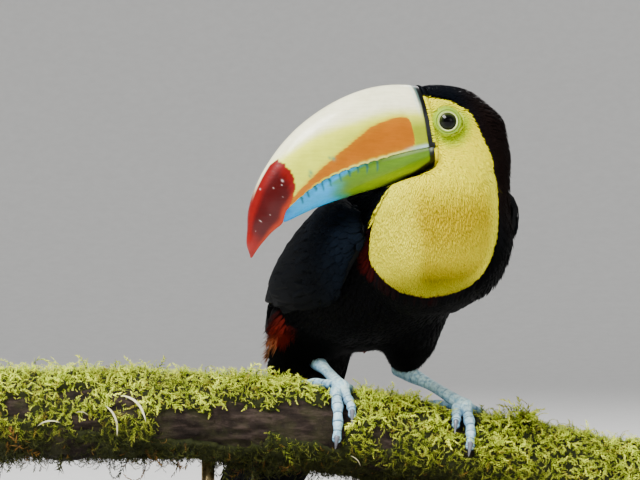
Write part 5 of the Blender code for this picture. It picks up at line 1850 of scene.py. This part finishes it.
covert = vane_shape(((0, 0.45), (0.25, 0.9), (0.6, 1.0), (0.84, 0.8), (0.95, 0.45), (1.0, 0.0)), 4, 0.8)
quill = vane_shape(((0, 0.25), (0.06, 0.6), (0.16, 0.84), (0.3, 0.96), (0.45, 1.0), (0.6, 1.0),
                    (0.72, 0.97), (0.82, 0.9), (0.9, 0.76), (0.95, 0.58), (0.985, 0.32), (1.0, 0.0)), 8, 1.6)
vane_black = plumage_finish("flight_feathers", 0.62, 0.00009, 0.025)


def sunk(mesh, depth):
    """The mesh with its points moved in by this depth."""
    move_points(mesh, points_of(mesh) - unit(points_of(mesh, "normal")) * depth)
    return mesh


def flight_feather(side, surface, x, t, length, width, rise, root_rise, fan, droop):
    """One long feather of a wing, laid like a row of one."""
    puff = WING_PUFF[side]
    x, t, length, width, rise = (np.array([v]) for v in (x, t, length, width, rise + puff))
    return row_laid(side, surface, x, t, length, width, rise, quill, fan=fan, droop=droop, thick=0.0005,
                    root_rise=root_rise + puff, stations=12)[0]


for side in ("left", "right"):
    flesh = sunk(run_together(merged_copy(f"wing_{side}"), 0.0016, 12), WING_SUNK)
    colour_by(flesh, "coat", np.array(WING_BLACK))
    piece(f"wing_{side}_flesh", flesh, hide, "black_plumage", f"wing_{side}")
    surface = surface_of(flesh)
    draw = np.random.default_rng(31 + (side == "left"))

    rows, tints, starts = [], [], []
    for x, first, last_t, count, length, width, rise in COVERT_ROWS:
        t = np.linspace(first, last_t, count) + draw.normal(0, 0.01, count)
        at = np.full(count, x) + draw.normal(0, 0.0009, count)
        lengths, rises = length * draw.uniform(0.92, 1.08, count), rise * draw.uniform(0.85, 1.15, count)
        made, start = row_laid(side, surface, at, t, lengths, np.full(count, width), rises + WING_PUFF[side],
                               covert, droop=0.08, thick=0.00016, root_rise=0.0002 + WING_PUFF[side])
        rows.append(made)
        starts.append(start)
        # painted sheen: the forward coverts are tinted blue
        tint = layered(all_over(WING_BLACK, at), (WING_PAINTED_SHEEN, fade(-0.01, 0.045, at)))
        tints.append(tint * draw.uniform(0.75, 1.15, count)[:, None])
    rows, tints, patches = np.concatenate(rows), np.concatenate(tints), skin_unwrap(np.concatenate(starts))
    joined(f"wing_{side}_coverts", covert, rows, tints, patches, velvet, "black_plumage")

    # secondaries from the innermost, which lies on top, outwards; then the primaries under them
    rows = []
    for s in (k / 10 for k in range(11)):
        x = -0.002 + 0.006 * math.sin(math.pi * s)
        rows.append(flight_feather(side, surface, x, 0.1 + 0.8 * s, 0.09 - 0.032 * s, 0.015,
                                   0.0021 - 0.0007 * s, 0.0009 - 0.0006 * s, -0.01 - 0.02 * s, 0.1))
    for s in (k / 6 for k in range(7)):
        x = -0.03 + 0.004 * s
        rows.append(flight_feather(side, surface, x, 0.5 + 0.36 * s, 0.068 - 0.012 * s, 0.0125,
                                   0.0013 - 0.0004 * s, 0.0002, -0.03, 0.08))
    tints = np.array(WING_BLACK) * draw.uniform(0.8, 1.2, (len(rows), 1))
    joined(f"wing_{side}_quills", quill, np.concatenate(rows), tints, all_over((0.5, 0.5), rows), vane_black,
           "black_plumage")

# Tail -----------------------------------------------------
# Ten tail feathers, closed to a narrow fan with the middle pair on top, black with a dull gloss.
# Long white coverts lie over their roots and scarlet ones under them.

PAIR_LENGTHS = (0.16, 0.1585, 0.156, 0.152, 0.147)
FAN_STEP, ROOT_STEP, QUILL_WIDTH, QUILL_THICK = 0.0064, 0.003, 0.0205, 0.0005


def tail_quill(pair, sign):
    """One tail feather: pair 0 lies in the middle on top, pair 4 outermost and lowest."""
    points, _ = quill
    t = clip(points[:, 1], 0, 1)
    middle = sign * (0.0022 + pair * (ROOT_STEP + (FAN_STEP - ROOT_STEP) * t))
    wide = QUILL_WIDTH * (0.62 + 0.38 * fade(0, 0.5, t)) / 2
    y = middle + points[:, 0] * wide * where(points[:, 0] * sign > 0, 0.85, 1.15)
    level = 0.0017 - 0.00075 * pair + 0.00012 * sign - 0.0007 * t
    camber = -0.0022 * points[:, 0] ** 2 * (1 - 0.4 * t)
    z = level + camber + points[:, 2] * QUILL_THICK - 0.1 * y * y / 0.03
    tip_bend = -0.002 * t**3
    return out_of(TAIL, np.stack([0.004 - t * PAIR_LENGTHS[pair], y, z + tip_bend], -1))


rows = np.stack([tail_quill(pair, sign) for pair in range(5) for sign in (1, -1)])
tints = np.array(WING_BLACK) * rng.uniform(0.8, 1.2, (len(rows), 1))
joined("tail_quills", quill, rows, tints, all_over((0.5, 0.5), rows), vane_black, "black_plumage", "tail")

rump_mesh = sunk(run_together(merged_copy("rump", "trunk", "tail", grow=GROWN), 0.0018, 8), 0.0012)
rump_surface = surface_of(rump_mesh)
bpy.data.meshes.remove(rump_mesh)
# coverts: on top or below, colour, how many rows, half the width of the first row
TAIL_COVERTS = {"above": (1, COVERT_WHITE, 6, 0.013), "below": (-1, VENT_RED, 2, 0.011)}
for name, (over, tint, count, half) in TAIL_COVERTS.items():
    places = [(0.02 - 0.0075 * k, y * (half - 0.001 * k) + rng.normal(0, 0.0006), over * 0.02)
              for k in range(count) for y in np.linspace(-1, 1, 7 - k // 3)]
    start, normals = on_surface(rump_surface, out_of(TAIL, np.array(places)))
    count = len(start)
    ways = all_over(TAIL.to_3x3() @ Vector((-1, 0, 0.05 * over)), start) + rng.normal(0, 0.05, (count, 3))
    lengths, widths = rng.uniform(0.024, 0.031, count), np.full(count, 0.011)
    rises = rng.uniform(0.0018, 0.0034, count)
    made = laid(start, normals, ways, lengths, widths, rises, rump_surface, covert, droop=0.15, thick=0.00022,
                stations=7)
    tints = np.array(tint) * rng.uniform(0.82, 1.05, (count, 1))
    joined(f"tail_coverts_{name}", covert, made, tints, skin_unwrap(start), velvet, "black_plumage")

# Studio ---------------------------------------------------
# A pale sweep of paper under and round the stand, three soft lamps, and the camera level with the
# bird's breast.

paper, shader = finish_of("paper_sweep", 0.9)
tooth = noise(paper, 60, 4)
feed(paper, shader, Base_Color=ramp(paper, tooth, (0.3, (0.8, 0.79, 0.76)), (0.7, (0.84, 0.83, 0.8))))
FLOOR_FLAT, FLOOR_RISE = 3.2, 2.4
bends = [math.radians(5 * i) for i in range(1, 19)]
profile = [(0, 0), (0, FLOOR_FLAT)]
profile += [(FLOOR_RISE * (1 - math.cos(t)), FLOOR_FLAT + FLOOR_RISE * math.sin(t)) for t in bends]
sweep_mesh = mesh_of(turned(profile, Vector((0, 0, 0)), 96), "paper_sweep")
sweep_mesh.materials.append(paper)
sweep_mesh.shade_smooth()
sweep = placed("paper_sweep", sweep_mesh)


def lamp(name, place, aim, size, power):
    """A round lamp with soft edges, turned to its aim."""
    light = bpy.data.lights.new(name, "AREA")
    light.shape, light.size, light.energy = "DISK", size, power
    obj = placed(name, light)
    obj.location = place
    obj.rotation_euler = (Vector(aim) - Vector(place)).to_track_quat("-Z", "Y").to_euler()


lamp("window_light", (-0.95, -1.1, 2.0), (0.02, 0, 0.2), 1.0, 142)
lamp("fill_light", (1.6, -1.6, 0.9), (0.02, 0, 0.2), 1.4, 14)
lamp("back_light", (0.6, 1.6, 1.5), (0, 0, 0.2), 1.0, 17)
world = bpy.data.worlds.new("room")
world.use_nodes = True
background = world.node_tree.nodes["Background"].inputs
background["Color"].default_value = (0.93, 0.95, 1.0, 1)
background["Strength"].default_value = 0.35
bpy.context.scene.world = world

CAMERA_DISTANCE, CAMERA_HEIGHT, CAMERA_X = 2.13, 0.213, -0.018
lens = bpy.data.cameras.new("camera")
lens.lens, lens.sensor_width = 200, 36
camera = placed("camera", lens)
camera.location = (CAMERA_X, -CAMERA_DISTANCE, CAMERA_HEIGHT)
camera.rotation_euler = (math.pi / 2, 0, 0)
bpy.context.scene.camera = camera
